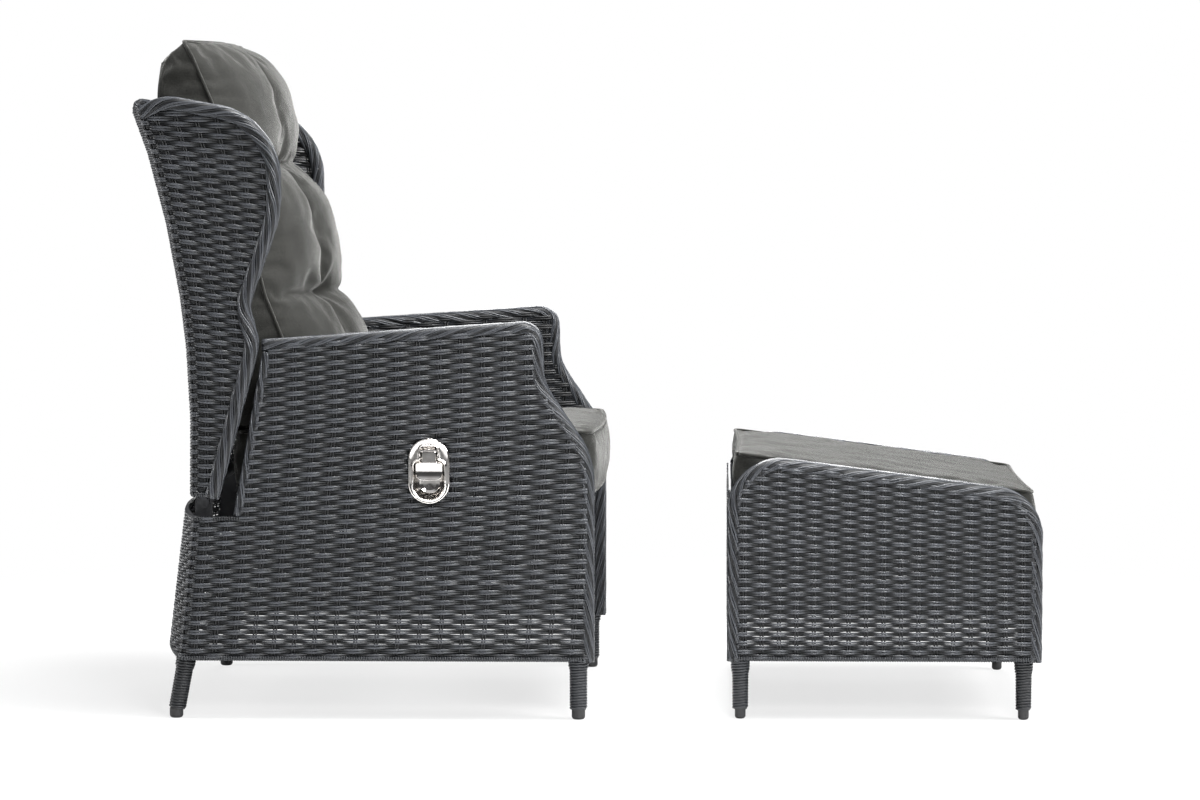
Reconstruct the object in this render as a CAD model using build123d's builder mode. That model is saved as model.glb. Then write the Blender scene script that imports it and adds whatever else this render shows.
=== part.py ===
from build123d import *
from math import atan2, cos, degrees, radians, sin, tan
import os

os.makedirs("parts", exist_ok=True)

# Driving dimensions, in millimetres. X runs forward from the chair to the footstool,
# Y to the sitter's left, Z up, with the floor at zero.
chair_width = 680.0
arm_thickness = 45.0
tube_diameter = 25.0
tube_wall = 1.5
running_gap = 0.3
touch_gap = 0.3

# Side of the chair
skirt_bottom = 95.0
skirt_top = 332.0
panel_rear_bottom = -649.0
panel_rear_top = -625.0
arm_rear_x = -508.0
arm_rear_z = 608.0
arm_front_x = -65.0
arm_front_z = 638.5
arm_notch_x = -62.5
arm_notch_z = 545.0
front_knee_x = 19.0
front_knee_z = 424.0
arm_corner_radius = 22.0
notch_radius = 90.0
knee_radius = 130.0
braid_band = 19.0
braid_round = 8.0
rear_braid_band = 15.0
rear_braid_top_x = -500.0
rear_braid_top_z = 598.0
rear_braid_foot_x = -549.0

# Legs
front_leg_x = 3.0
rear_foot_x = -655.0
rear_bend_x = -634.0
rear_bend_z = 112.0
rear_leg_top_x = -612.0
rear_leg_top_z = 318.0
rear_bend_radius = 120.0
glide_height = 16.0
glide_radius = 11.0
glide_round = 5.0
wrap_thickness = 2.5
wrap_start = 18.0

# Frame between the sides
deck_top = 371.0
deck_thickness = 12.0
front_rail_x = -45.0
middle_rail_x = -270.0
rear_rail_x = -490.0
hinge_stub_x = -612.0
hinge_stub_z = 303.0
rear_rail_inset = 4.0
arm_post_inset = 21.0
side_rail_drop = 16.0
deck_front = -20.0
deck_rear = -560.0
apron_height = 62.0
apron_thickness = 10.0
skirt_bow_top = 45.0
skirt_bow_bottom = 51.0
skirt_wall = 10.0

# Backrest: the rear edge of the wing as stations of height and place
back_bottom = 361.0
back_heights = (361.0, 485.0, 601.0, 685.0, 803.0, 918.0, 985.0)
back_line = (-629.0, -627.0, -632.0, -641.0, -661.0, -689.0, -712.0)
back_bow_bottom = 22.0
back_bow_top = 40.0
wing_splay = 4.5
wing_inset = 12.0
wing_thickness = 14.0
wing_braid_band = 22.0
wing_braid_depth = 30.0
wing_braid_round = 9.0
wing_top_rear_z = 982.0
wing_top_rear_inset = 8.0
wing_outline = ((-666.0, 1002.0), (-487.0, 969.0), (-487.0, 821.0), (-540.0, 672.0), (-522.0, 612.0))
wing_outline_radii = (60.0, 110.0, 150.0, 60.0, 60.0)
wing_foot_x = -591.0
back_weave_thickness = 12.0
back_tube = 20.0
upright_bend_radius = 200.0
upright_stand_off = 6.0

# Recline hinge
pivot_x = -610.0
pivot_z = 350.0
pivot_bolt_diameter = 10.0
bush_wall = 2.0
hinge_plate_thickness = 5.0
hinge_plate_width = 28.0
hinge_lug_thickness = 6.0
hinge_plate_inset = 9.0
bolt_head_radius = 9.0
bolt_head_height = 6.0
back_bottom_tube_x = -602.5
back_bottom_tube_z = 381.0
bore_clearance = 0.06

# Gas spring
spring_arm = 60.0
spring_front_x = -270.0
spring_tube_diameter = 22.0
spring_rod_diameter = 10.0
spring_tube_length = 185.0
spring_eye_width = 14.0
spring_eye_radius = 13.0
spring_pin_diameter = 8.0
open_pivot_clearance = 3.2
spring_stroke = 60.0
fork_gap = 1.0
fork_cheek = 4.0
fork_width = 26.0
release_head_length = 48.0
release_head_height = 26.0

# Release handle
handle_x = -238.0
handle_z = 406.0
handle_width = 69.0
handle_height = 108.0
handle_proud = 4.0
handle_depth = 24.0
handle_wall = 2.0
paddle_width = 48.0
paddle_neck = 24.0
paddle_thickness = 4.0
paddle_top = 34.0
paddle_neck_height = 20.0
paddle_bottom = -14.0
paddle_sink = 3.0
paddle_clearance = 2.0
handle_pin_diameter = 4.0
return_spring_wire = 1.4
cable_diameter = 5.0
cable_bend_radius = 30.0

# Cushions
cushion_side_room = 14.0
seat_cushion_height = 95.0
seat_cushion_rear = -565.0
seat_cushion_front = 27.0
seat_cushion_bulge = 17.0
seat_cushion_crown = 9.0
seat_cushion_draw_in = 7.0
cushion_clearance = 0.5
back_cushion_side_room = 19.0
lobe_edge = 92.0

# Footstool
stool_width = 640.0
stool_rear_x = 244.0
stool_front_x = 755.0
stool_bottom = 95.0
stool_high_z = 437.0
stool_low_z = 371.0
stool_high_radius = 78.0
stool_low_radius = 72.0
stool_side_thickness = 40.0
stool_tube_diameter = 22.0
stool_leg_rear_x = 266.0
stool_leg_front_x = 726.0
stool_cross_inset = 9.0
stool_skin = 8.0
stool_end_thickness = 12.0
stool_deck_thickness = 12.0
stool_deck_drop = 66.0
stool_cushion_rear_inset = 26.0
stool_cushion_front_inset = 11.0
stool_cushion_thickness = 55.0
stool_cushion_crown = 7.0
stool_cushion_side_room = 43.0

SIDES = (-1, 1)
tube_radius = tube_diameter / 2
half_width = chair_width / 2
side_middle = half_width - arm_thickness / 2
skin_thickness = (arm_thickness - tube_diameter) / 2 - touch_gap
inner_face = half_width - arm_thickness
wing_middle_y = half_width - wing_inset
wing_top_rear_x = back_line[-1] + wing_top_rear_inset
hinge_plate_y = inner_face - hinge_plate_inset
cushion_half_width = inner_face - cushion_side_room
back_cushion_half_width = inner_face - back_cushion_side_room
stool_cushion_half_width = stool_width / 2 - stool_cushion_side_room
stool_cushion_rear = stool_rear_x + stool_cushion_rear_inset
stool_cushion_front = stool_front_x - stool_cushion_front_inset
deck_bottom = deck_top - deck_thickness
rail_z = deck_bottom - tube_radius
side_name = {-1: "right", 1: "left"}


def save(builder, name):
    builder.part.label = name
    export_step(builder.part, f"parts/{name}.step")


def save_largest(builder, name):
    """Keep the piece itself, without the slivers that a cut leaves beyond a rounded braid."""
    with BuildPart() as kept:
        add(builder.solids().sort_by(SortBy.VOLUME)[-1])
    save(kept, name)
    return kept.part


def add_tube(start, end, radius, bore=0.0):
    """Straight round tube or bar between two points, added to the open part."""
    run = Vector(*end) - Vector(*start)
    with BuildSketch(Plane(origin=start, z_dir=run)) as ring:
        Circle(radius)
        if bore:
            Circle(bore, mode=Mode.SUBTRACT)
    extrude(ring.sketch, amount=run.length)


def side_plane(y):
    """Plane of the side view: its x is the chair's X, its y is Z, at width y."""
    return Plane(origin=(0, y, 0), x_dir=(1, 0, 0), z_dir=(0, -1, 0))


def add_slab(points, y_low, y_high):
    """Flat panel of a side-view outline between two widths, added to the open part."""
    with BuildSketch(side_plane(y_high)) as outline:
        with BuildLine():
            Polyline(*points, close=True)
        make_face()
    extrude(outline.sketch, amount=y_high - y_low)


def ordered(side, near, far):
    return (side * near, side * far) if side * near < side * far else (side * far, side * near)


def blend_value(table_x, table_y, x):
    """Straight-line value between the stations of a table."""
    for x0, x1, y0, y1 in zip(table_x, table_x[1:], table_y, table_y[1:]):
        if x <= x1:
            return y0 + (y1 - y0) * (x - x0) / (x1 - x0)
    return table_y[-1]


def back_x(z):
    return blend_value(back_heights, back_line, z)


def back_bow(z):
    share = (z - back_bottom) / (back_heights[-1] - back_bottom)
    return back_bow_bottom + (back_bow_top - back_bow_bottom) * min(max(share, 0), 1)


def wing_y(x):
    """Middle of the splayed wing at a place along the chair."""
    return wing_middle_y + (x - back_line[0]) * tan(radians(wing_splay))


# Side frame tubes
arm_route = ((arm_rear_x, arm_rear_z), (arm_front_x, arm_front_z), (arm_notch_x, arm_notch_z),
             (front_knee_x, front_knee_z), (front_knee_x, skirt_bottom))
arm_slope = (arm_front_z - arm_rear_z) / (arm_front_x - arm_rear_x)


def arm_rail_z(x):
    return arm_rear_z + (x - arm_rear_x) * arm_slope - braid_band / 2 - tube_radius - touch_gap


rail_front_x = arm_front_x - braid_band / 2
post_slope = (rear_braid_top_x - rear_braid_foot_x) / (rear_braid_top_z - skirt_top)
post_foot_z = skirt_bottom + tube_diameter + tube_radius * post_slope + touch_gap
leg_lean = (rear_bend_x - rear_foot_x) / rear_bend_z


def post_x(z):
    return rear_braid_foot_x + (z - skirt_top) * post_slope + arm_post_inset


def rear_leg_x(z):
    if z < rear_bend_z:
        return rear_foot_x + (rear_bend_x - rear_foot_x) * z / rear_bend_z
    return rear_bend_x + (rear_leg_top_x - rear_bend_x) * (z - rear_bend_z) / (rear_leg_top_z - rear_bend_z)


def add_bent_tube(route, y, radii, radius, bore):
    """Round tube along side-view points with rounded bends, added to the open part."""
    with BuildLine(side_plane(y)) as line:
        FilletPolyline(*route, radius=radii)
    with BuildSketch(Plane(origin=line.line @ 0, z_dir=line.line % 0)) as ring:
        Circle(radius)
        if bore:
            Circle(bore, mode=Mode.SUBTRACT)
    sweep(ring.sketch, path=line.line)


leg_tube_top_x = rail_front_x - tube_radius
leg_tube_top_z = arm_rail_z(leg_tube_top_x) - tube_radius - touch_gap * 4
front_leg_route = (
    (front_leg_x, glide_height),
    (front_leg_x, front_knee_z - braid_band / 2),
    (leg_tube_top_x, arm_notch_z - braid_band / 2),
    (leg_tube_top_x, leg_tube_top_z),
)
tube_bore = tube_radius - tube_wall
with BuildPart() as front_leg_tubes:
    for side in SIDES:
        add_bent_tube(front_leg_route, side * side_middle, (knee_radius, notch_radius / 2), tube_radius, tube_bore)
save(front_leg_tubes, "front_leg_tubes")

with BuildPart() as rear_leg_tubes:
    for side in SIDES:
        rear_leg_route = ((rear_leg_x(glide_height), glide_height), (rear_bend_x, rear_bend_z),
                          (rear_leg_top_x, rear_leg_top_z))
        add_bent_tube(rear_leg_route, side * side_middle, (rear_bend_radius,), tube_radius, tube_bore)
save(rear_leg_tubes, "rear_leg_tubes")

with BuildPart() as arm_rail_tubes:
    for side in SIDES:
        rail_rear_x = arm_rear_x + braid_band
        add_tube((rail_rear_x, side * side_middle, arm_rail_z(rail_rear_x)),
                 (rail_front_x, side * side_middle, arm_rail_z(rail_front_x)), tube_radius, tube_bore)
save(arm_rail_tubes, "arm_rail_tubes")

post_top_drop_share = 1.3
post_top_z = arm_rail_z(post_x(arm_rear_z)) - tube_radius * post_top_drop_share
with BuildPart() as arm_post_tubes:
    for side in SIDES:
        add_tube((post_x(post_foot_z), side * side_middle, post_foot_z),
                 (post_x(post_top_z), side * side_middle, post_top_z), tube_radius, tube_bore)
save(arm_post_tubes, "arm_post_tubes")

lower_rail_z = skirt_bottom + tube_radius
with BuildPart() as lower_rail_tubes:
    for side in SIDES:
        add_tube((rear_leg_x(lower_rail_z) + tube_radius * (1 + leg_lean), side * side_middle, lower_rail_z),
                 (front_leg_x - tube_radius - touch_gap, side * side_middle, lower_rail_z), tube_radius, tube_bore)
save(lower_rail_tubes, "lower_rail_tubes")

side_rail_z = rail_z - side_rail_drop
with BuildPart() as seat_side_rails:
    for side in SIDES:
        add_tube((post_x(side_rail_z) + tube_radius * (1 + post_slope * 2), side * side_middle, side_rail_z),
                 (front_leg_x - tube_radius - touch_gap, side * side_middle, side_rail_z),
                 tube_radius, tube_bore)
save(seat_side_rails, "seat_side_rails")

cross_half = side_middle - tube_radius - touch_gap
rear_rail_low_x = rear_leg_x(lower_rail_z) + rear_rail_inset
cross_rail_places = ((front_rail_x, rail_z), (middle_rail_x, rail_z), (rear_rail_x, rail_z),
                     (rear_rail_low_x, lower_rail_z))
with BuildPart() as cross_rails:
    for rail_x, cross_z in cross_rail_places:
        add_tube((rail_x, -cross_half, cross_z), (rail_x, cross_half, cross_z), tube_radius, tube_bore)
save(cross_rails, "cross_rails")

with BuildPart() as hinge_stubs:
    for side in SIDES:
        stub_inner = side * (hinge_plate_y + hinge_plate_thickness)
        add_tube((hinge_stub_x, stub_inner, hinge_stub_z), (hinge_stub_x, side * cross_half, hinge_stub_z),
                 tube_radius, tube_bore)
save(hinge_stubs, "hinge_stubs")

# Braids round the arm and down its front, and down the arm's rear edge
arm_route_radii = (arm_corner_radius, notch_radius, knee_radius)
arm_braids = {}
for side in SIDES:
    with BuildPart() as arm_braid:
        with BuildLine(side_plane(side * side_middle)) as arm_line:
            FilletPolyline(*arm_route, radius=arm_route_radii)
        with BuildSketch(Plane(origin=arm_line.line @ 0, x_dir=(0, 1, 0), z_dir=arm_line.line % 0)):
            RectangleRounded(arm_thickness + touch_gap, braid_band, braid_round)
        sweep(path=arm_line.line)
        add(front_leg_tubes.part, mode=Mode.SUBTRACT)
        add(arm_rail_tubes.part, mode=Mode.SUBTRACT)
    arm_braids[side] = save_largest(arm_braid, f"arm_braid_{side_name[side]}")

with BuildPart() as arm_rear_braids:
    for side in SIDES:
        foot = (rear_braid_foot_x, side * side_middle, skirt_top + touch_gap)
        top = (rear_braid_top_x, side * side_middle, rear_braid_top_z)
        rise = Vector(*top) - Vector(*foot)
        with BuildSketch(Plane(origin=foot, x_dir=(0, 1, 0), z_dir=rise)):
            RectangleRounded(arm_thickness, rear_braid_band, rear_braid_band / 3)
        extrude(amount=rise.length)
    for side in SIDES:
        add(arm_braids[side], mode=Mode.SUBTRACT)
save(arm_rear_braids, "arm_rear_braids")

# Woven skins of the two sides, with a cut-out for the release handle on the right
outer_outline = (
    (arm_rear_x, arm_rear_z), (arm_front_x, arm_front_z), (arm_notch_x, arm_notch_z),
    (front_knee_x, front_knee_z), (front_knee_x, skirt_bottom), (panel_rear_bottom, skirt_bottom),
    (panel_rear_top, skirt_top), (rear_braid_foot_x, skirt_top),
)
inner_outline = outer_outline[:3] + (
    (front_knee_x, front_knee_z), (front_knee_x, deck_top), (post_x(deck_top) - arm_post_inset, deck_top),
)
for side in SIDES:
    with BuildPart() as outer_weave:
        add_slab(outer_outline, *ordered(side, half_width - skin_thickness, half_width))
        add(arm_braids[side], mode=Mode.SUBTRACT)
        add(arm_rear_braids.part, mode=Mode.SUBTRACT)
        if side < 0:
            with BuildSketch(side_plane(-half_width + skin_thickness)):
                with Locations((handle_x, handle_z)):
                    SlotOverall(handle_height - handle_wall * 2, handle_width - handle_wall * 2, rotation=90)
            extrude(amount=skin_thickness * 2, mode=Mode.SUBTRACT)
    save_largest(outer_weave, f"outer_side_weave_{side_name[side]}")
    with BuildPart() as inner_weave:
        add_slab(inner_outline, *ordered(side, inner_face, inner_face + skin_thickness))
        add(arm_braids[side], mode=Mode.SUBTRACT)
        add(arm_rear_braids.part, mode=Mode.SUBTRACT)
    save_largest(inner_weave, f"inner_side_weave_{side_name[side]}")

# Rear skirt, bowed between the side panels
skirt_half = half_width - skin_thickness - touch_gap


def bowed_section(z, rear, bow, half, wall):
    """Curved strip in plan at one height: a wall between two arcs."""
    with BuildSketch(Plane.XY.offset(z)) as strip:
        with BuildLine():
            ThreePointArc((rear, -half), (rear - bow, 0), (rear, half))
            Line((rear, half), (rear + wall, half))
            ThreePointArc((rear + wall, half), (rear - bow + wall, 0), (rear + wall, -half))
            Line((rear + wall, -half), (rear, -half))
        make_face()
    return strip.sketch


with BuildPart() as rear_skirt:
    loft([
        bowed_section(skirt_bottom, panel_rear_bottom, skirt_bow_bottom, skirt_half, skirt_wall),
        bowed_section(skirt_top, panel_rear_top, skirt_bow_top, skirt_half, skirt_wall),
    ])
    add(rear_leg_tubes.part, mode=Mode.SUBTRACT)
save_largest(rear_skirt, "rear_skirt_weave")

with BuildPart() as seat_deck:
    with BuildSketch(Plane.XY.offset(deck_bottom)):
        with Locations(((deck_front + deck_rear) / 2, 0)):
            Rectangle(deck_front - deck_rear, 2 * (inner_face - touch_gap))
    extrude(amount=deck_thickness)
save(seat_deck, "seat_deck")

with BuildPart() as seat_front_weave:
    with BuildSketch(Plane.XY.offset(deck_top - apron_height)):
        with Locations((deck_front + apron_thickness / 2, 0)):
            Rectangle(apron_thickness, 2 * (inner_face - touch_gap))
    extrude(amount=apron_height)
save(seat_front_weave, "seat_front_weave")

# Wrapped cane on the legs, and the glides under them
wrap_radius = tube_radius + wrap_thickness
rear_wrap_end = skirt_bottom - wrap_radius * leg_lean - touch_gap
with BuildPart() as leg_wraps:
    for side in SIDES:
        add_tube((front_leg_x, side * side_middle, wrap_start),
                 (front_leg_x, side * side_middle, skirt_bottom - touch_gap), wrap_radius, tube_radius)
        add_tube((rear_leg_x(wrap_start), side * side_middle, wrap_start),
                 (rear_leg_x(rear_wrap_end), side * side_middle, rear_wrap_end), wrap_radius, tube_radius)
save(leg_wraps, "leg_wraps")


def add_glide(x, y, radius):
    with BuildSketch(Plane(origin=(x, y, 0), x_dir=(1, 0, 0), z_dir=(0, -1, 0))) as half_outline:
        with BuildLine():
            Polyline((0, 0), (radius - glide_round, 0))
            ThreePointArc((radius - glide_round, 0),
                          (radius - glide_round + glide_round * sin(radians(45)),
                           glide_round - glide_round * cos(radians(45))),
                          (radius, glide_round))
            Polyline((radius, glide_round), (radius, glide_height), (0, glide_height), (0, 0))
        make_face()
    revolve(half_outline.sketch, axis=Axis((x, y, 0), (0, 0, 1)))


with BuildPart() as chair_glides:
    for side in SIDES:
        add_glide(front_leg_x, side * side_middle, glide_radius)
        add_glide(rear_leg_x(glide_height / 2), side * side_middle, glide_radius)
save(chair_glides, "chair_glides")

# Recline hinge: plates on the base, lugs and bushes on the back, bolts through both
plate_end_z = hinge_stub_z - tube_radius


def add_pivot_plate(y_low, y_high, foot_z, foot_x, top_z):
    """Flat plate with a round end about the pivot and a square end at its weld."""
    with BuildSketch(side_plane(y_high)) as plate:
        with BuildLine():
            Polyline((pivot_x - hinge_plate_width / 2, pivot_z), (foot_x - hinge_plate_width / 2, foot_z),
                     (foot_x + hinge_plate_width / 2, foot_z), (pivot_x + hinge_plate_width / 2, pivot_z))
            ThreePointArc((pivot_x + hinge_plate_width / 2, pivot_z), (pivot_x, top_z),
                          (pivot_x - hinge_plate_width / 2, pivot_z))
        make_face()
    extrude(plate.sketch, amount=y_high - y_low)


with BuildPart() as hinge_plates:
    for side in SIDES:
        low, high = ordered(side, hinge_plate_y, hinge_plate_y + hinge_plate_thickness)
        add_pivot_plate(low, high, plate_end_z, hinge_stub_x, pivot_z + hinge_plate_width / 2)
    with BuildSketch(side_plane(half_width)):
        with Locations((pivot_x, pivot_z)):
            Circle(pivot_bolt_diameter / 2 + bore_clearance)
    extrude(amount=chair_width, mode=Mode.SUBTRACT)
save(hinge_plates, "hinge_plates")

lug_outer_y = hinge_plate_y - running_gap * 3
lug_inner_y = lug_outer_y - hinge_lug_thickness
back_tube_radius = back_tube / 2
upright_y = wing_y(back_line[-1]) - wing_thickness / 2 - back_tube_radius - running_gap * 3
bottom_tube_half = upright_y - back_tube_radius - touch_gap
with BuildPart() as back_bottom_tube:
    add_tube((back_bottom_tube_x, -bottom_tube_half, back_bottom_tube_z),
             (back_bottom_tube_x, bottom_tube_half, back_bottom_tube_z), back_tube_radius,
             back_tube_radius - tube_wall)
save(back_bottom_tube, "back_bottom_tube")

bush_radius = pivot_bolt_diameter / 2 + bore_clearance + bush_wall
with BuildPart() as back_hinge_lugs:
    for side in SIDES:
        low, high = ordered(side, lug_inner_y, lug_outer_y)
        add_pivot_plate(low, high, back_bottom_tube_z + back_tube_radius / 2, back_bottom_tube_x,
                        pivot_z - hinge_plate_width / 2)
    with BuildSketch(side_plane(half_width)):
        with Locations((back_bottom_tube_x, back_bottom_tube_z)):
            Circle(back_tube_radius)
        with Locations((pivot_x, pivot_z)):
            Circle(bush_radius)
    extrude(amount=chair_width, mode=Mode.SUBTRACT)
save(back_hinge_lugs, "back_hinge_lugs")

with BuildPart() as hinge_bushes:
    for side in SIDES:
        add_tube((pivot_x, side * lug_inner_y, pivot_z), (pivot_x, side * lug_outer_y, pivot_z), bush_radius,
                 pivot_bolt_diameter / 2 + bore_clearance)
save(hinge_bushes, "hinge_bushes")

with BuildPart() as hinge_bolts:
    for side in SIDES:
        nut_inner = lug_inner_y - running_gap * 3 - bolt_head_height
        head_inner = hinge_plate_y + hinge_plate_thickness + touch_gap
        add_tube((pivot_x, side * nut_inner, pivot_z), (pivot_x, side * head_inner, pivot_z),
                 pivot_bolt_diameter / 2)
        add_tube((pivot_x, side * head_inner, pivot_z),
                 (pivot_x, side * (head_inner + bolt_head_height), pivot_z), bolt_head_radius)
        add_tube((pivot_x, side * nut_inner, pivot_z),
                 (pivot_x, side * (nut_inner + bolt_head_height), pivot_z), bolt_head_radius)
save(hinge_bolts, "hinge_bolts")

# Backrest frame and weave
upright_inset = back_weave_thickness + back_tube_radius + upright_stand_off
upright_bottom_z = back_bottom + touch_gap * 10
with BuildPart() as back_uprights:
    for side in SIDES:
        route = [(back_x(z) + upright_inset, max(z, upright_bottom_z)) for z in back_heights[:-1]]
        route.append((back_x(back_heights[-1]) + upright_inset, back_heights[-1] - wing_braid_band))
        with BuildLine(side_plane(side * upright_y)) as line:
            FilletPolyline(*route, radius=upright_bend_radius)
        with BuildSketch(Plane(origin=line.line @ 0, z_dir=line.line % 0)):
            Circle(back_tube_radius)
            Circle(back_tube_radius - tube_wall, mode=Mode.SUBTRACT)
        sweep(path=line.line)
save(back_uprights, "back_uprights")

top_tube_z = back_heights[-2]
with BuildPart() as back_top_tube:
    top_tube_x = back_x(top_tube_z) + upright_inset
    top_half = upright_y - back_tube_radius - touch_gap
    add_tube((top_tube_x, -top_half, top_tube_z), (top_tube_x, top_half, top_tube_z), back_tube_radius,
             back_tube_radius - tube_wall)
save(back_top_tube, "back_top_tube")


def wing_plane(side, offset):
    """Plane of one splayed wing, at an offset outward from its middle."""
    turn = side * radians(wing_splay)
    along = (cos(turn), sin(turn), 0)
    normal = (sin(turn), -cos(turn), 0)
    origin = Vector(back_line[0], side * wing_middle_y, 0) + Vector(*normal) * (-side * offset)
    return Plane(origin=origin, x_dir=along, z_dir=normal)


def wing_point(x, z):
    return ((x - back_line[0]) / cos(radians(wing_splay)), z)


wing_route = [wing_point(wing_top_rear_x, wing_top_rear_z)]
wing_route += [wing_point(x, z) for x, z in wing_outline]
wing_route += [wing_point(wing_foot_x, back_bottom)]
wing_braids = {}
for side in SIDES:
    with BuildPart() as wing_braid:
        with BuildLine(wing_plane(side, 0)) as wing_line:
            FilletPolyline(*wing_route, radius=wing_outline_radii)
        across = wing_plane(side, 0).z_dir
        with BuildSketch(Plane(origin=wing_line.line @ 0, x_dir=across, z_dir=wing_line.line % 0)):
            RectangleRounded(wing_braid_depth, wing_braid_band, wing_braid_round)
        sweep(path=wing_line.line)
    save(wing_braid, f"wing_braid_{side_name[side]}")
    wing_braids[side] = wing_braid.part

rear_points = [wing_point(x, z) for x, z in zip(back_line, back_heights)]
for side in SIDES:
    with BuildPart() as wing_weave:
        with BuildSketch(wing_plane(side, side * wing_thickness / 2)):
            with BuildLine():
                Polyline(*wing_route, *rear_points, close=True)
            make_face()
        extrude(amount=wing_thickness)
        add(wing_braids[side], mode=Mode.SUBTRACT)
    save_largest(wing_weave, f"wing_weave_{side_name[side]}")

with BuildPart() as back_weave:
    back_sections = []
    for z in back_heights:
        inner_half = wing_y(back_x(z)) - wing_thickness / 2 / cos(radians(wing_splay)) - touch_gap
        back_sections.append(bowed_section(z, back_x(z), back_bow(z), inner_half, back_weave_thickness))
    loft(back_sections)
    for side in SIDES:
        add(wing_braids[side], mode=Mode.SUBTRACT)
save_largest(back_weave, "back_weave")

top_braid_z = back_heights[-1] + wing_braid_band / 2 + touch_gap
top_braid_half = wing_y(back_line[-1]) - wing_braid_depth / 2 - touch_gap * 5
top_braid_x = back_line[-1] + wing_braid_band / 2
with BuildPart() as back_top_braid:
    with BuildLine(Plane.XY.offset(top_braid_z)) as top_line:
        ThreePointArc((top_braid_x, -top_braid_half), (top_braid_x - back_bow_top, 0),
                      (top_braid_x, top_braid_half))
    with BuildSketch(Plane(origin=top_line.line @ 0, z_dir=top_line.line % 0)):
        Circle(wing_braid_band / 2)
    sweep(path=top_line.line)
save(back_top_braid, "back_top_braid")

# Gas spring from the middle seat rail to an arm under the back's lower tube
spring_z = pivot_z - spring_arm
cheek_inner = spring_eye_width / 2 + fork_gap
cheek_outer = cheek_inner + fork_cheek


def add_cheeks(points_of_edge, hole_center, hole_radius, minus_center, minus_radius):
    """Two parallel plates either side of the middle, with a hole and a seat on a tube."""
    for side in SIDES:
        low, high = ordered(side, cheek_inner, cheek_outer)
        add_slab(points_of_edge, low, high)
    with BuildSketch(side_plane(cheek_outer)) as bores:
        with Locations(hole_center):
            Circle(hole_radius)
        with Locations(minus_center):
            Circle(minus_radius)
    extrude(bores.sketch, amount=2 * cheek_outer, mode=Mode.SUBTRACT)


with BuildPart() as spring_front_bracket:
    add_cheeks(((middle_rail_x - fork_width / 2, rail_z), (middle_rail_x + fork_width / 2, rail_z),
                (middle_rail_x + fork_width / 2, spring_z - fork_width / 2),
                (middle_rail_x - fork_width / 2, spring_z - fork_width / 2)),
               (spring_front_x, spring_z), spring_pin_diameter / 2 + bore_clearance,
               (middle_rail_x, rail_z), tube_radius)
save(spring_front_bracket, "spring_front_bracket")

pin_half = cheek_outer + fork_cheek / 2
with BuildPart() as spring_front_pin:
    add_tube((spring_front_x, -pin_half, spring_z), (spring_front_x, pin_half, spring_z),
             spring_pin_diameter / 2)
save(spring_front_pin, "spring_front_pin")

with BuildPart() as spring_rear_arm:
    add_cheeks(((back_bottom_tube_x - fork_width / 2, back_bottom_tube_z),
                (back_bottom_tube_x + fork_width / 2, back_bottom_tube_z),
                (pivot_x + fork_width / 2, spring_z - fork_width / 2),
                (pivot_x - fork_width / 2, spring_z - fork_width / 2)),
               (pivot_x, spring_z), spring_pin_diameter / 2 + bore_clearance,
               (back_bottom_tube_x, back_bottom_tube_z), back_tube_radius)
save(spring_rear_arm, "spring_rear_arm")

with BuildPart() as spring_rear_pin:
    add_tube((pivot_x, -pin_half, spring_z), (pivot_x, pin_half, spring_z), spring_pin_diameter / 2)
save(spring_rear_pin, "spring_rear_pin")

eye_radius = spring_pin_diameter / 2 + open_pivot_clearance
eye_outer = eye_radius + fork_cheek
swing_room_share = 0.8
tube_rear_x = pivot_x + fork_width * swing_room_share
tube_front_x = tube_rear_x + spring_tube_length
spring_bore = spring_rod_diameter / 2 + bore_clearance
with BuildPart() as gas_spring_tube:
    add_tube((tube_rear_x - touch_gap, 0, spring_z), (tube_front_x, 0, spring_z), spring_tube_diameter / 2)
    with BuildSketch(side_plane(spring_eye_width / 2)):
        with Locations((pivot_x, spring_z)):
            Circle(eye_outer)
        with Locations(((pivot_x + tube_rear_x) / 2, spring_z)):
            Rectangle(tube_rear_x - pivot_x, spring_eye_width)
    extrude(amount=spring_eye_width)
    with BuildSketch(side_plane(spring_tube_diameter)):
        with Locations((pivot_x, spring_z)):
            Circle(eye_radius)
    extrude(amount=2 * spring_tube_diameter, mode=Mode.SUBTRACT)
    with BuildSketch(Plane(origin=(tube_front_x, 0, spring_z), z_dir=(-1, 0, 0))):
        Circle(spring_bore)
    extrude(amount=spring_tube_length - fork_cheek, mode=Mode.SUBTRACT)
save(gas_spring_tube, "gas_spring_tube")

head_rear_x = spring_front_x - release_head_length + spring_eye_radius
with BuildPart() as gas_spring_rod:
    add_tube((tube_front_x - spring_stroke, 0, spring_z), (head_rear_x, 0, spring_z), spring_rod_diameter / 2)
save(gas_spring_rod, "gas_spring_rod")

with BuildPart() as release_head:
    with BuildSketch(side_plane(spring_eye_width / 2)):
        with Locations(((head_rear_x + spring_front_x) / 2, spring_z)):
            Rectangle(spring_front_x - head_rear_x, release_head_height)
        with Locations((spring_front_x, spring_z)):
            Circle(spring_eye_radius)
    extrude(amount=spring_eye_width)
    with BuildSketch(side_plane(spring_eye_width)):
        with Locations((spring_front_x, spring_z)):
            Circle(spring_pin_diameter / 2 + bore_clearance)
    extrude(amount=2 * spring_eye_width, mode=Mode.SUBTRACT)
save(release_head, "release_head")

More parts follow.
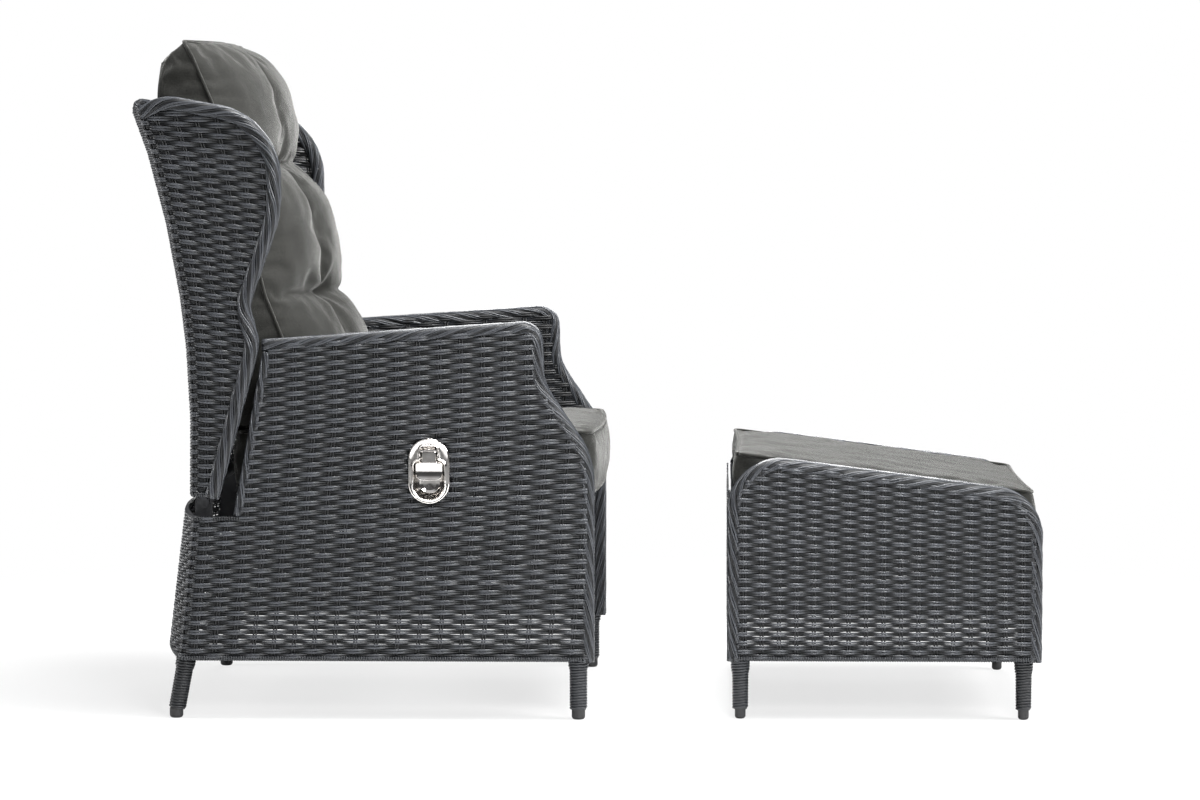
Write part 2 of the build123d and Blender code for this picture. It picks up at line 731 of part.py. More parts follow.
# Release handle in the right-hand side: a chromed bowl, a hinged paddle, pin, spring and cable
plate_face_y = -(half_width + handle_proud)
bowl_back_y = plate_face_y + handle_depth
pocket_half = paddle_width / 2 + paddle_clearance
pin_z = handle_z + paddle_top - paddle_thickness / 2
paddle_face_y = plate_face_y + paddle_sink
pin_y = paddle_face_y + paddle_thickness * 1.5
with BuildPart() as handle_plate:
    with BuildSketch(side_plane(plate_face_y + handle_proud)):
        with Locations((handle_x, handle_z)):
            SlotOverall(handle_height, handle_width, rotation=90)
    extrude(amount=handle_proud)
    fillet(handle_plate.faces().sort_by(Axis.Y)[0].edges(), radius=handle_proud / 2)
    with BuildSketch(side_plane(bowl_back_y)):
        with Locations((handle_x, handle_z)):
            SlotOverall(handle_height - handle_wall * 2 - touch_gap * 2,
                        handle_width - handle_wall * 2 - touch_gap * 2, rotation=90)
    extrude(amount=handle_depth - handle_proud)
    with BuildSketch(side_plane(bowl_back_y - handle_wall)):
        with Locations((handle_x, handle_z - handle_height / 2 + handle_wall * 4 + pocket_half)):
            Circle(pocket_half)
        with Locations((handle_x, handle_z)):
            Rectangle(2 * pocket_half, paddle_top - paddle_neck_height + pocket_half / 2 + 2 * paddle_clearance)
        with Locations((handle_x, handle_z + paddle_top / 2)):
            Rectangle(paddle_neck + 2 * paddle_clearance, paddle_top + 4 * paddle_clearance)
    extrude(amount=handle_depth, mode=Mode.SUBTRACT)
save(handle_plate, "handle_plate")

with BuildPart() as handle_paddle:
    with BuildSketch(side_plane(paddle_face_y + paddle_thickness)):
        with BuildLine():
            shoulder = handle_z + paddle_top - paddle_neck_height
            Polyline((handle_x - paddle_width / 2 + paddle_clearance, handle_z + paddle_bottom),
                     (handle_x + paddle_width / 2 - paddle_clearance, handle_z + paddle_bottom),
                     (handle_x + paddle_width / 2 - paddle_clearance, shoulder - paddle_clearance),
                     (handle_x + paddle_neck / 2, shoulder - paddle_clearance),
                     (handle_x + paddle_neck / 2, handle_z + paddle_top),
                     (handle_x - paddle_neck / 2, handle_z + paddle_top),
                     (handle_x - paddle_neck / 2, shoulder - paddle_clearance),
                     (handle_x - paddle_width / 2 + paddle_clearance, shoulder - paddle_clearance),
                     close=True)
        make_face()
    extrude(amount=paddle_thickness)
    with BuildSketch(Plane(origin=(handle_x - paddle_neck / 2, pin_y, pin_z), z_dir=(1, 0, 0))):
        Circle(paddle_thickness)
    extrude(amount=paddle_neck)
    with BuildSketch(Plane(origin=(handle_x - paddle_neck, pin_y, pin_z), z_dir=(1, 0, 0))):
        Circle(handle_pin_diameter / 2 + bore_clearance)
    extrude(amount=2 * paddle_neck, mode=Mode.SUBTRACT)
save(handle_paddle, "handle_paddle")

pin_reach = paddle_neck / 2 + paddle_clearance
with BuildPart() as handle_pin:
    add_tube((handle_x - pin_reach, pin_y, pin_z), (handle_x + pin_reach, pin_y, pin_z),
             handle_pin_diameter / 2)
save(handle_pin, "handle_pin")

# The return spring is a flat leaf behind the paddle's neck
leaf_y = bowl_back_y - handle_wall - return_spring_wire
with BuildPart() as handle_spring:
    with BuildSketch(side_plane(leaf_y + return_spring_wire)):
        with Locations((handle_x, shoulder - paddle_neck_height / 2)):
            Rectangle(paddle_neck / 2, paddle_neck_height)
    extrude(amount=return_spring_wire)
save(handle_spring, "handle_spring")

# Release cable from the bowl, down between the skins, under the deck, to the release head
cable_end_x = head_rear_x + fork_cheek * 2
cable_drop = cable_diameter * 1.4
cable_run_shares = (0.68, 0.34, 0.15)
cable_exit_z = deck_top - cable_drop
cable_points = [
    (handle_x, bowl_back_y + touch_gap * 4, cable_exit_z),
    (handle_x, -inner_face + cable_diameter * 2, deck_bottom - cable_drop),
    (handle_x - cable_diameter, -inner_face * cable_run_shares[0], side_rail_z),
    (handle_x - cable_diameter * 6, -inner_face * cable_run_shares[1], spring_z + cable_diameter * 2),
    (cable_end_x, -inner_face * cable_run_shares[2], spring_z),
    (cable_end_x, -spring_eye_width / 2 - touch_gap, spring_z),
]
with BuildPart() as release_cable:
    with BuildLine() as cable_line:
        FilletPolyline(*cable_points, radius=cable_bend_radius)
    with BuildSketch(Plane(origin=cable_line.line @ 0, z_dir=cable_line.line % 0)):
        Circle(cable_diameter / 2)
    sweep(path=cable_line.line)
save(release_cable, "release_cable")

# Seat cushion: boxed, crowned, with sides drawn in between its corners
seat_bottom = deck_top + cushion_clearance
seat_top = seat_bottom + seat_cushion_height


def pillow_section(z, rear, front, half, bulge, draw_in, rear_draw):
    """Level outline of a boxed cushion whose sides pull in between its corners."""
    with BuildSketch(Plane.XY.offset(z)) as outline:
        with BuildLine():
            ThreePointArc((front, -half), (front + bulge, 0), (front, half))
            ThreePointArc((front, half), ((front + rear) / 2, half - draw_in), (rear, half))
            ThreePointArc((rear, half), (rear + rear_draw, 0), (rear, -half))
            ThreePointArc((rear, -half), ((front + rear) / 2, -half + draw_in), (front, -half))
        make_face()
    return outline.sketch


# Shares of the boxing's height, and of the full bulge that the side has there
level_shares = ((0.0, 0.6), (0.5, 1.0), (1.0, 0.55))
crown_slope_share = 5
seam_top = seat_top - seat_cushion_crown
crown_inset = seat_cushion_crown * crown_slope_share
with BuildPart() as seat_cushion:
    boxing = [
        pillow_section(seat_bottom + (seam_top - seat_bottom) * height_share, seat_cushion_rear,
                       seat_cushion_front, cushion_half_width, seat_cushion_bulge * bulge_share,
                       seat_cushion_draw_in * (2 - bulge_share), seat_cushion_draw_in)
        for height_share, bulge_share in level_shares
    ]
    loft(boxing)
    crown = pillow_section(seat_top, seat_cushion_rear + crown_inset, seat_cushion_front - crown_inset,
                           cushion_half_width - crown_inset, seat_cushion_bulge * level_shares[-1][1],
                           seat_cushion_draw_in, seat_cushion_draw_in)
    loft([boxing[-1], crown], ruled=True)
save(seat_cushion, "seat_cushion")

# Back cushion: three upright channels, sewn down in two rows, with a head roll over the top.
# Each station: height, middle crest, channel seams, side seam, rear face.
cushion_stations = (
    (474.0, -372.0, -392.0, -430.0, -612.0),
    (530.0, -356.0, -380.0, -436.0, -612.0),
    (630.0, -378.0, -402.0, -474.0, -612.0),
    (688.0, -415.0, -440.0, -498.0, -617.0),
    (760.0, -417.0, -438.0, -520.0, -627.0),
    (840.0, -440.0, -460.0, -535.0, -640.0),
    (905.0, -494.0, -506.0, -560.0, -655.0),
    (965.0, -491.0, -505.0, -560.0, -672.0),
    (1030.0, -508.0, -520.0, -580.0, -690.0),
    (1078.0, -540.0, -550.0, -608.0, -690.0),
    (1104.0, -600.0, -606.0, -632.0, -672.0),
)


side_lobe_share = 0.8
rear_bow_share = 0.72


def back_cushion_section(z, crest, channel, seam, rear):
    """Level outline of the back cushion: three lobes in front, one bowed face behind."""
    half = back_cushion_half_width
    edge = lobe_edge
    side_lobe = seam + (channel - seam) * side_lobe_share
    with BuildSketch(Plane.XY.offset(z)) as outline:
        with BuildLine():
            Line((rear, -half), (seam, -half))
            ThreePointArc((seam, -half), (side_lobe, -(half + edge) / 2), (channel, -edge))
            ThreePointArc((channel, -edge), (crest, 0), (channel, edge))
            ThreePointArc((channel, edge), (side_lobe, (half + edge) / 2), (seam, half))
            Line((seam, half), (rear, half))
            ThreePointArc((rear, half), (rear - back_bow(z) * rear_bow_share, 0), (rear, -half))
        make_face()
    return outline.sketch


with BuildPart() as back_cushion:
    loft([back_cushion_section(*station) for station in cushion_stations])
    add(back_top_tube.part, mode=Mode.SUBTRACT)
save(back_cushion, "back_cushion")

# Footstool
stool_half = stool_width / 2
stool_tube_radius = stool_tube_diameter / 2
stool_tube_y = stool_half - stool_side_thickness / 2
stool_tube_bore = stool_tube_radius - tube_wall
stool_inner = stool_half - stool_side_thickness
stool_braid_half = braid_band / 2
stool_rear_line = stool_rear_x + stool_braid_half
stool_front_line = stool_front_x - stool_braid_half
stool_slope = (stool_low_z - stool_high_z) / (stool_front_x - stool_rear_x)


def stool_top_z(x):
    return stool_high_z + (x - stool_rear_x) * stool_slope


stool_route = (
    (stool_rear_line, stool_bottom),
    (stool_rear_line, stool_top_z(stool_rear_line) - stool_braid_half),
    (stool_front_line, stool_top_z(stool_front_line) - stool_braid_half),
    (stool_front_line, stool_bottom),
)
stool_legs = (stool_leg_rear_x, stool_leg_front_x)
leg_top_drop = stool_deck_drop + stool_deck_thickness + stool_tube_diameter + touch_gap * 2
with BuildPart() as stool_leg_tubes:
    for side in SIDES:
        for leg_x in stool_legs:
            add_tube((leg_x, side * stool_tube_y, glide_height),
                     (leg_x, side * stool_tube_y, stool_top_z(leg_x) - leg_top_drop),
                     stool_tube_radius, stool_tube_bore)
save(stool_leg_tubes, "stool_leg_tubes")

rail_reach = stool_tube_radius + touch_gap
rail_rise_share = 1.13
cross_drop_share = 1.15
with BuildPart() as stool_side_rails:
    for side in SIDES:
        ends = [(leg_x, side * stool_tube_y, stool_top_z(leg_x) - leg_top_drop + rail_reach * rail_rise_share)
                for leg_x in (stool_leg_rear_x - stool_tube_radius, stool_leg_front_x + stool_tube_radius)]
        add_tube(ends[0], ends[1], stool_tube_radius, stool_tube_bore)
        add_tube((stool_leg_rear_x + rail_reach, side * stool_tube_y, stool_bottom + stool_tube_radius),
                 (stool_leg_front_x - rail_reach, side * stool_tube_y, stool_bottom + stool_tube_radius),
                 stool_tube_radius, stool_tube_bore)
save(stool_side_rails, "stool_side_rails")

with BuildPart() as stool_cross_rails:
    stool_cross_half = stool_tube_y - rail_reach
    for cross_x in (stool_leg_rear_x + stool_cross_inset, stool_leg_front_x - stool_cross_inset):
        deck_underside = stool_top_z(cross_x) - stool_deck_drop - stool_deck_thickness
        cross_z = deck_underside - stool_tube_radius * cross_drop_share
        add_tube((cross_x, -stool_cross_half, cross_z), (cross_x, stool_cross_half, cross_z),
                 stool_tube_radius, stool_tube_bore)
save(stool_cross_rails, "stool_cross_rails")

stool_braids = {}
for side in SIDES:
    with BuildPart() as stool_braid:
        with BuildLine(side_plane(side * stool_tube_y)) as stool_line:
            FilletPolyline(*stool_route, radius=(stool_high_radius, stool_low_radius))
        with BuildSketch(Plane(origin=stool_line.line @ 0, x_dir=(0, 1, 0), z_dir=stool_line.line % 0)):
            RectangleRounded(stool_side_thickness, braid_band, braid_round)
        sweep(path=stool_line.line)
        add(stool_leg_tubes.part, mode=Mode.SUBTRACT)
        add(stool_side_rails.part, mode=Mode.SUBTRACT)
    stool_braids[side] = save_largest(stool_braid, f"stool_braid_{side_name[side]}")

for side in SIDES:
    with BuildPart() as stool_weave:
        add_slab(stool_route, *ordered(side, stool_half - stool_skin, stool_half))
        add(stool_braids[side], mode=Mode.SUBTRACT)
    save_largest(stool_weave, f"stool_side_weave_{side_name[side]}")

stool_end_half = stool_inner - touch_gap
stool_ends = (("rear", stool_rear_x + touch_gap, 1), ("front", stool_front_x - touch_gap, -1))
for end_name, outer_x, inward in stool_ends:
    with BuildPart() as stool_end:
        inner_x = outer_x + inward * stool_end_thickness
        with BuildSketch(Plane.XY.offset(stool_bottom)):
            with Locations(((outer_x + inner_x) / 2, 0)):
                Rectangle(stool_end_thickness, 2 * stool_end_half)
        extrude(amount=stool_top_z(outer_x) - stool_deck_drop - stool_bottom)
    save(stool_end, f"stool_end_weave_{end_name}")

stool_wrap_radius = stool_tube_radius + wrap_thickness
with BuildPart() as stool_leg_wraps:
    for side in SIDES:
        for leg_x in stool_legs:
            add_tube((leg_x, side * stool_tube_y, wrap_start),
                     (leg_x, side * stool_tube_y, stool_bottom - touch_gap), stool_wrap_radius,
                     stool_tube_radius)
save(stool_leg_wraps, "stool_leg_wraps")

stool_glide_share = 0.8
stool_glide_radius = stool_tube_radius * stool_glide_share
with BuildPart() as stool_glides:
    for side in SIDES:
        for leg_x in stool_legs:
            add_glide(leg_x, side * stool_tube_y, stool_glide_radius)
save(stool_glides, "stool_glides")

# Deck and cushion lie on the same slope as the top
deck_start = stool_rear_x + stool_end_thickness + touch_gap * 2
deck_end = stool_front_x - stool_end_thickness - touch_gap * 2
with BuildPart() as stool_deck:
    low_edge = stool_deck_drop + stool_deck_thickness
    add_slab(((deck_start, stool_top_z(deck_start) - low_edge), (deck_end, stool_top_z(deck_end) - low_edge),
              (deck_end, stool_top_z(deck_end) - stool_deck_drop),
              (deck_start, stool_top_z(deck_start) - stool_deck_drop)),
             -stool_end_half, stool_end_half)
save(stool_deck, "stool_deck")

stool_tilt = degrees(atan2(stool_high_z - stool_low_z, stool_front_x - stool_rear_x))
cushion_middle_x = (stool_cushion_rear + stool_cushion_front) / 2
cushion_base = stool_top_z(cushion_middle_x) - stool_deck_drop + cushion_clearance
cushion_plane = Plane(origin=(cushion_middle_x, 0, cushion_base), x_dir=(cos(radians(stool_tilt)), 0,
                      -sin(radians(stool_tilt))), z_dir=(sin(radians(stool_tilt)), 0, cos(radians(stool_tilt))))
stool_cushion_reach = (stool_cushion_front - stool_cushion_rear) / 2 / cos(radians(stool_tilt))


def stool_section(height, reach, half, bulge):
    """Outline of the footstool's cushion at one height above its sloping deck."""
    with BuildSketch(cushion_plane.offset(height)) as outline:
        with BuildLine():
            ThreePointArc((reach, -half), (reach + bulge, 0), (reach, half))
            ThreePointArc((reach, half), (0, half - bulge), (-reach, half))
            ThreePointArc((-reach, half), (-reach - bulge, 0), (-reach, -half))
            ThreePointArc((-reach, -half), (0, -half + bulge), (reach, -half))
        make_face()
    return outline.sketch


stool_crown_inset = stool_cushion_crown * crown_slope_share
with BuildPart() as stool_cushion:
    stool_boxing = [
        stool_section(stool_cushion_thickness * height_share, stool_cushion_reach, stool_cushion_half_width,
                      stool_cushion_crown * bulge_share)
        for height_share, bulge_share in level_shares
    ]
    loft(stool_boxing)
    stool_crown = stool_section(stool_cushion_thickness + stool_cushion_crown,
                                stool_cushion_reach - stool_crown_inset,
                                stool_cushion_half_width - stool_crown_inset, stool_cushion_crown / 2)
    loft([stool_boxing[-1], stool_crown], ruled=True)
save(stool_cushion, "stool_cushion")
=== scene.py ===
# %% [markdown]
# An armchair with a footstool, both woven from dark plastic cane over a tube frame.
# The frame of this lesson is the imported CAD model. Every piece made here sits on it,
# in metres, with X forwards from the chair to the footstool, Y to the sitter's left and Z up.

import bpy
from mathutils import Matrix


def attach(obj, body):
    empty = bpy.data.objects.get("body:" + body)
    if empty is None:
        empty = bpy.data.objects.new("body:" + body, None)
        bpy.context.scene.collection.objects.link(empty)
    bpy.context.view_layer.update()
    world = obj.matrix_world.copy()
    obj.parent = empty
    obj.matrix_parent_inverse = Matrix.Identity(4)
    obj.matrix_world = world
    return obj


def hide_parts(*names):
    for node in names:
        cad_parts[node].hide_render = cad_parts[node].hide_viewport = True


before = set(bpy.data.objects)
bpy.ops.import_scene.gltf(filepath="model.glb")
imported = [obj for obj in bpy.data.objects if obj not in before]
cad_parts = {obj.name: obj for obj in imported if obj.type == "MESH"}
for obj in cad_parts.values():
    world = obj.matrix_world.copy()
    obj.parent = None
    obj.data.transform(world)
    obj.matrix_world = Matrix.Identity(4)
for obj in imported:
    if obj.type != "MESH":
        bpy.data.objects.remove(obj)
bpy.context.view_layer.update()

# %% [markdown]
# The frame is in metres, and the numbers of this lesson are mostly in millimetres, because
# a weaver thinks in them. The factor MM turns one into the other where points are laid.

# %% Tools, and a clean selection
from math import pi, radians, sin, tan

import bmesh
import bpy
import numpy as np
from mathutils import Vector

MM = 0.001
SIDES = {"right": -1, "left": 1}
bpy.ops.object.select_all(action="DESELECT")
print("CAD parts", len(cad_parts))

# %% [markdown]
# The camera stands at the sitter's right, a long way off with a long lens, so the chair
# is seen almost square from the side. A nearer camera would spread the far side too much.

# %% Camera
LOOK_DOWN, LOOK_ASIDE = 3.74, 1.8
bpy.ops.object.camera_add(
    location=(0.232, -6.49, 0.924), rotation=(radians(90 - LOOK_DOWN), 0, radians(LOOK_ASIDE)))
camera = bpy.context.object
camera.name = "camera"
camera.data.lens = 114.75
camera.data.sensor_width = 36
camera.data.clip_end = 100
bpy.context.scene.camera = camera
bpy.context.scene.view_settings.view_transform = "Standard"
print("camera at", tuple(camera.location), "lens", camera.data.lens)

# %% [markdown]
# The room is a white studio. A broad soft lamp hangs overhead. A small one by the camera puts
# the narrow highlights on the strands, and a wide one lights the front. Two weaker ones stand
# behind and on the far side, so that the chair is no black shape when it is seen from there.


# %% Lamps
def studio_lamp(name, place, target, size, watts):
    """A rectangular lamp at that place, turned towards the target."""
    bpy.ops.object.light_add(type="AREA", location=place)
    lamp = bpy.context.object
    lamp.name = name
    lamp.data.shape = "RECTANGLE"
    lamp.data.size, lamp.data.size_y = size
    lamp.data.energy = watts
    lamp.rotation_euler = (Vector(target) - Vector(place)).to_track_quat("-Z", "Y").to_euler()


studio_lamp("lamp_above", (0.3, -0.3, 3.4), (-0.1, 0, 0.4), (1.6, 1.4), 212)
studio_lamp("lamp_front", (0.95, -3.3, 1.7), (-0.1, -0.3, 0.5), (0.9, 0.7), 80)
studio_lamp("lamp_back", (-4.0, 0.3, 1.8), (-0.3, 0, 0.6), (1.8, 1.4), 72)
studio_lamp("lamp_far", (0.3, 3.8, 2.0), (-0.1, 0, 0.5), (2.0, 1.2), 72)
studio_lamp("lamp_side", (3.1, -1.0, 2.5), (0, 0, 0.5), (2.0, 1.6), 165)

# %% [markdown]
# The camera sees a plain white world. Glossy surfaces see a dim room with a bright ceiling,
# which a ramp on the height of the gaze paints. Everything else gets a faint grey light, so
# that the dark cane keeps its depth.


# %% World
def mixed(tree, share, first, second):
    """A Mix Shader node between two shader outputs."""
    mix = tree.nodes.new("ShaderNodeMixShader")
    for socket, output in zip(mix.inputs, (share, first, second)):
        tree.links.new(output, socket)
    return mix.outputs[0]


def plain_light(tree, colour, strength=1.0):
    light = tree.nodes.new("ShaderNodeBackground")
    light.inputs["Color"].default_value = (*colour, 1)
    light.inputs["Strength"].default_value = strength
    return light


ROOM_GREYS = ((0.0, 0.12), (0.06, 0.06), (0.3, 0.09), (0.45, 0.6))
CEILING_GREY = 0.8
world = bpy.data.worlds.new("studio")
bpy.context.scene.world = world
world.use_nodes = True
tree = world.node_tree
tree.nodes.clear()
ray = tree.nodes.new("ShaderNodeLightPath")
seen = tree.nodes.new("ShaderNodeMath")
seen.operation = "MAXIMUM"
tree.links.new(ray.outputs["Is Camera Ray"], seen.inputs[0])
tree.links.new(ray.outputs["Is Transmission Ray"], seen.inputs[1])
room = plain_light(tree, (0.93, 0.96, 1.0), 0.042)
white = plain_light(tree, (1, 1, 1))
gloss = tree.nodes.new("ShaderNodeBackground")
gaze = tree.nodes.new("ShaderNodeTexCoord")
gaze_parts = tree.nodes.new("ShaderNodeSeparateXYZ")
walls = tree.nodes.new("ShaderNodeValToRGB")
for height, grey in ROOM_GREYS:
    stop = walls.color_ramp.elements.new(height) if height > 0 else walls.color_ramp.elements[0]
    stop.color = (grey, grey, grey * 1.02, 1)
walls.color_ramp.elements[-1].color = (CEILING_GREY, CEILING_GREY, CEILING_GREY, 1)
tree.links.new(gaze.outputs["Generated"], gaze_parts.inputs["Vector"])
tree.links.new(gaze_parts.outputs["Z"], walls.inputs["Fac"])
tree.links.new(walls.outputs["Color"], gloss.inputs["Color"])
for_gloss = mixed(tree, ray.outputs["Is Glossy Ray"], room.outputs[0], gloss.outputs[0])
for_camera = mixed(tree, seen.outputs[0], for_gloss, white.outputs[0])
tree.links.new(for_camera, tree.nodes.new("ShaderNodeOutputWorld").inputs["Surface"])
print("world nodes", len(tree.nodes))

# %% [markdown]
# The floor is one large pale sheet. Close to the legs it is a plain white surface that takes
# the soft shadow. Further out it turns into plain white for the camera, so that no edge shows.

# %% Floor
FADE_START, FADE_END, GLOW_AT_LEGS = 0.7, 2.2, 0.74
bpy.ops.mesh.primitive_plane_add(size=60, location=(0, 0, 0))
floor = bpy.context.object
floor.name = "floor"
floor_finish = bpy.data.materials.new("white_floor")
floor_finish.use_nodes = True
tree = floor_finish.node_tree
surface = tree.nodes["Principled BSDF"]
surface.inputs["Base Color"].default_value = (0.86, 0.86, 0.86, 1)
surface.inputs["Roughness"].default_value = 0.9
surface.inputs["Specular IOR Level"].default_value = 0.1
glow = tree.nodes.new("ShaderNodeEmission")
place_on_floor = tree.nodes.new("ShaderNodeTexCoord")
distance = tree.nodes.new("ShaderNodeVectorMath")
distance.operation = "LENGTH"
far = tree.nodes.new("ShaderNodeMapRange")
far.interpolation_type = "SMOOTHSTEP"
far.inputs["From Min"].default_value = FADE_START
far.inputs["From Max"].default_value = FADE_END
far.inputs["To Min"].default_value = GLOW_AT_LEGS
ray = tree.nodes.new("ShaderNodeLightPath")
share = tree.nodes.new("ShaderNodeMath")
share.operation = "MULTIPLY"
tree.links.new(place_on_floor.outputs["Object"], distance.inputs[0])
tree.links.new(distance.outputs["Value"], far.inputs["Value"])
tree.links.new(ray.outputs["Is Camera Ray"], share.inputs[0])
tree.links.new(far.outputs["Result"], share.inputs[1])
shown = mixed(tree, share.outputs[0], surface.outputs[0], glow.outputs[0])
tree.links.new(shown, tree.nodes["Material Output"].inputs["Surface"])
floor.data.materials.append(floor_finish)
print("floor", tuple(floor.dimensions))

# %% [markdown]
# Much of this lesson runs along lines: strands, seams and braids. These helpers measure a
# line, pick points on it, round its corners and find what lies inside a closed one.


# %% Lines and outlines
def length_along(points):
    """How far along the line each of its points lies."""
    return np.concatenate([[0], np.cumsum(np.linalg.norm(np.diff(points, axis=0), axis=1))])


def unit_rows(vectors):
    return vectors / np.linalg.norm(vectors, axis=1)[:, None]


def at_lengths(points, length, wanted):
    """The line's points at those lengths."""
    return np.stack([np.interp(wanted, length, column) for column in points.T], -1)


def rounded(points, radii, step=6.2):
    """Points a step apart along a route whose corners are rounded, in the route's own units."""
    points = [np.array(p, float) for p in points]
    route = [points[0]]
    for before, corner, after, radius in zip(points, points[1:], points[2:], radii):
        a = (before - corner) / np.linalg.norm(before - corner)
        b = (after - corner) / np.linalg.norm(after - corner)
        half = np.arccos(np.clip(a @ b, -1, 1)) / 2
        reach = radius / tan(half)
        middle = corner + (a + b) / np.linalg.norm(a + b) * radius / sin(half)
        start, end = corner + a * reach, corner + b * reach
        turn = pi - 2 * half
        for share in np.linspace(0, 1, max(3, int(radius * turn / step) + 1)):
            p = start * (1 - share) + end * share - middle
            route.append(middle + p / np.linalg.norm(p) * radius)
    route.append(points[-1])
    route = np.array(route)
    length = length_along(route)
    return at_lengths(route, length, np.linspace(0, length[-1], max(2, int(length[-1] / step) + 1)))


def inside(outline, a, b):
    """True where the points lie in the closed outline."""
    result = np.zeros(np.shape(a), bool)
    for (x0, y0), (x1, y1) in zip(outline, np.roll(outline, -1, axis=0)):
        if y0 != y1:
            crosses = (y0 > b) != (y1 > b)
            result ^= crosses & (a < (x1 - x0) * (b - y0) / (y1 - y0) + x0)
    return result


def stretches(mask):
    """First and last index of each unbroken stretch of True."""
    edge = np.diff(np.concatenate([[0], mask.astype(int), [0]]))
    return zip(np.flatnonzero(edge == 1), np.flatnonzero(edge == -1) - 1)


bend = rounded([(0, 0), (60, 0), (60, 60)], [20])
print("a right angle rounded at 20 mm has", len(bend), "points")

# %% [markdown]
# Cane is extruded plastic in flat-backed strands about 3.7 mm wide. Each strand is a thin tube
# of rings. All the tubes of a panel are gathered in one mesh by code, because a weave has
# far too many crossings to model by hand. A ring is a flat oval, and its two lists of
# coordinates, along the strand and round it, become the UV map that the cane finish reads.


# %% Strand maker
class Strands:
    """Tubes of rings, gathered into one mesh."""

    def __init__(self):
        self.points, self.faces, self.along = [], [], []
        self.tones, self.crests, self.count = [], [], 0

    def add(self, rings, tone, crest=0.62):
        """rings is (stations, corners, 3) in metres; crest is painted light and shade:
        0 shaded deep in the weave, 1 lit on top.
        """
        stations, corners = rings.shape[:2]
        if stations < 2:
            return
        middle = rings.mean(1)
        run = middle[1] - middle[0]
        turn = np.cross(rings[0, 1] - rings[0, 0], rings[0, 2] - rings[0, 1])
        if turn @ run < 0:
            rings = rings[:, ::-1]
        i = np.arange(stations - 1)[:, None] * corners
        k = np.arange(corners)[None]
        after = (k + 1) % corners
        quads = np.stack([i + k, i + after, i + corners + after, i + corners + k], -1)
        self.faces.append(quads.reshape(-1, 4) + self.count)
        last = (stations - 1) * corners
        for cap in (np.arange(corners)[::-1], last + np.arange(corners)):
            for j in range(1, corners - 1, 2):
                tip = cap[[0, j, j + 1, min(j + 2, corners - 1)]]
                self.faces.append(tip[None] + self.count)
        self.points.append(rings.reshape(-1, 3))
        lengthwise = np.repeat(length_along(middle), corners) + tone
        crosswise = np.tile(np.arange(corners) / corners, stations)
        self.along.append(np.stack([lengthwise, crosswise], -1))
        self.tones.append(np.full(stations * corners, tone))
        self.crests.append(np.repeat(np.zeros(stations) + crest, corners))
        self.count += stations * corners

    def finish(self, name, material, body, slot="rattan"):
        quads = np.concatenate(self.faces)
        fourth = quads[:, 2] != quads[:, 3]
        sizes = np.where(fourth, 4, 3)
        kept = np.stack([np.ones_like(fourth)] * 3 + [fourth], -1)
        corners = quads.reshape(-1)[kept.reshape(-1)]
        starts = np.concatenate([[0], np.cumsum(sizes)[:-1]])
        mesh = bpy.data.meshes.new(name)
        mesh.vertices.add(self.count)
        mesh.vertices.foreach_set("co", np.concatenate(self.points).astype(np.float32).ravel())
        mesh.loops.add(len(corners))
        mesh.loops.foreach_set("vertex_index", corners.astype(np.int32))
        mesh.polygons.add(len(sizes))
        mesh.polygons.foreach_set("loop_start", starts.astype(np.int32))
        mesh.polygons.foreach_set("use_smooth", np.ones(len(sizes), bool))
        mesh.update(calc_edges=True)
        uv = np.concatenate(self.along)[corners]
        mesh.uv_layers.new(name="strand").data.foreach_set("uv", uv.astype(np.float32).ravel())
        # The crest attribute carries painted shade and painted light for the cane finish.
        for key, values in (("tone", self.tones), ("crest", self.crests)):
            field = mesh.attributes.new(key, "FLOAT", "POINT")
            field.data.foreach_set("value", np.concatenate(values).astype(np.float32))
        piece = bpy.data.objects.new(name, mesh)
        bpy.context.scene.collection.objects.link(piece)
        mesh.materials.append(material)
        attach(piece, body)
        print(name, "triangles", int((sizes - 2).sum()))
        return piece


def oval(corners):
    """Corner places of a strand's section: across it, and out of its face."""
    angle = 2 * pi * (np.arange(corners) + 0.5) / corners
    return np.cos(angle), np.sin(angle)


def rope_rings(path, outward, half_width, half_thick, corners=6):
    """Rings round a free strand: path and outward are arrays of points and directions."""
    run = unit_rows(np.gradient(path, axis=0))
    across = unit_rows(np.cross(run, outward))
    out = np.cross(across, run)
    wide, high = oval(corners)
    return (path[:, None] + across[:, None] * (wide[None, :, None] * half_width)
            + out[:, None] * (high[None, :, None] * half_thick))

# %% [markdown]
# The weave is the plainest one. Upright stakes are pairs of thin strands. Level weavers are
# pairs too, and each goes over one stake and under the next, while the row above does the
# opposite. So a weaver's height is a cosine of the stake number. A panel says three things:
# where its stakes stand, where a flat point lies in space, and what its outline is. Only the
# lowest rows of the sides let light through, so their strands are a little narrower.

# %% Weave maker
PITCH = 7.6
STAKE_SIDES, WEAVER_SIDES, RINGS_PER_STAKE = 5, 6, 4
STAKE_GAP, STAKE_HALF_WIDTH, STAKE_RING_GAP = 2.05, 1.75, 15
SEARCH_STEP = 1 / 32
OPEN_COVER, CLOSE_COVER, OPEN_FADE = 1.078, 1.11, 30


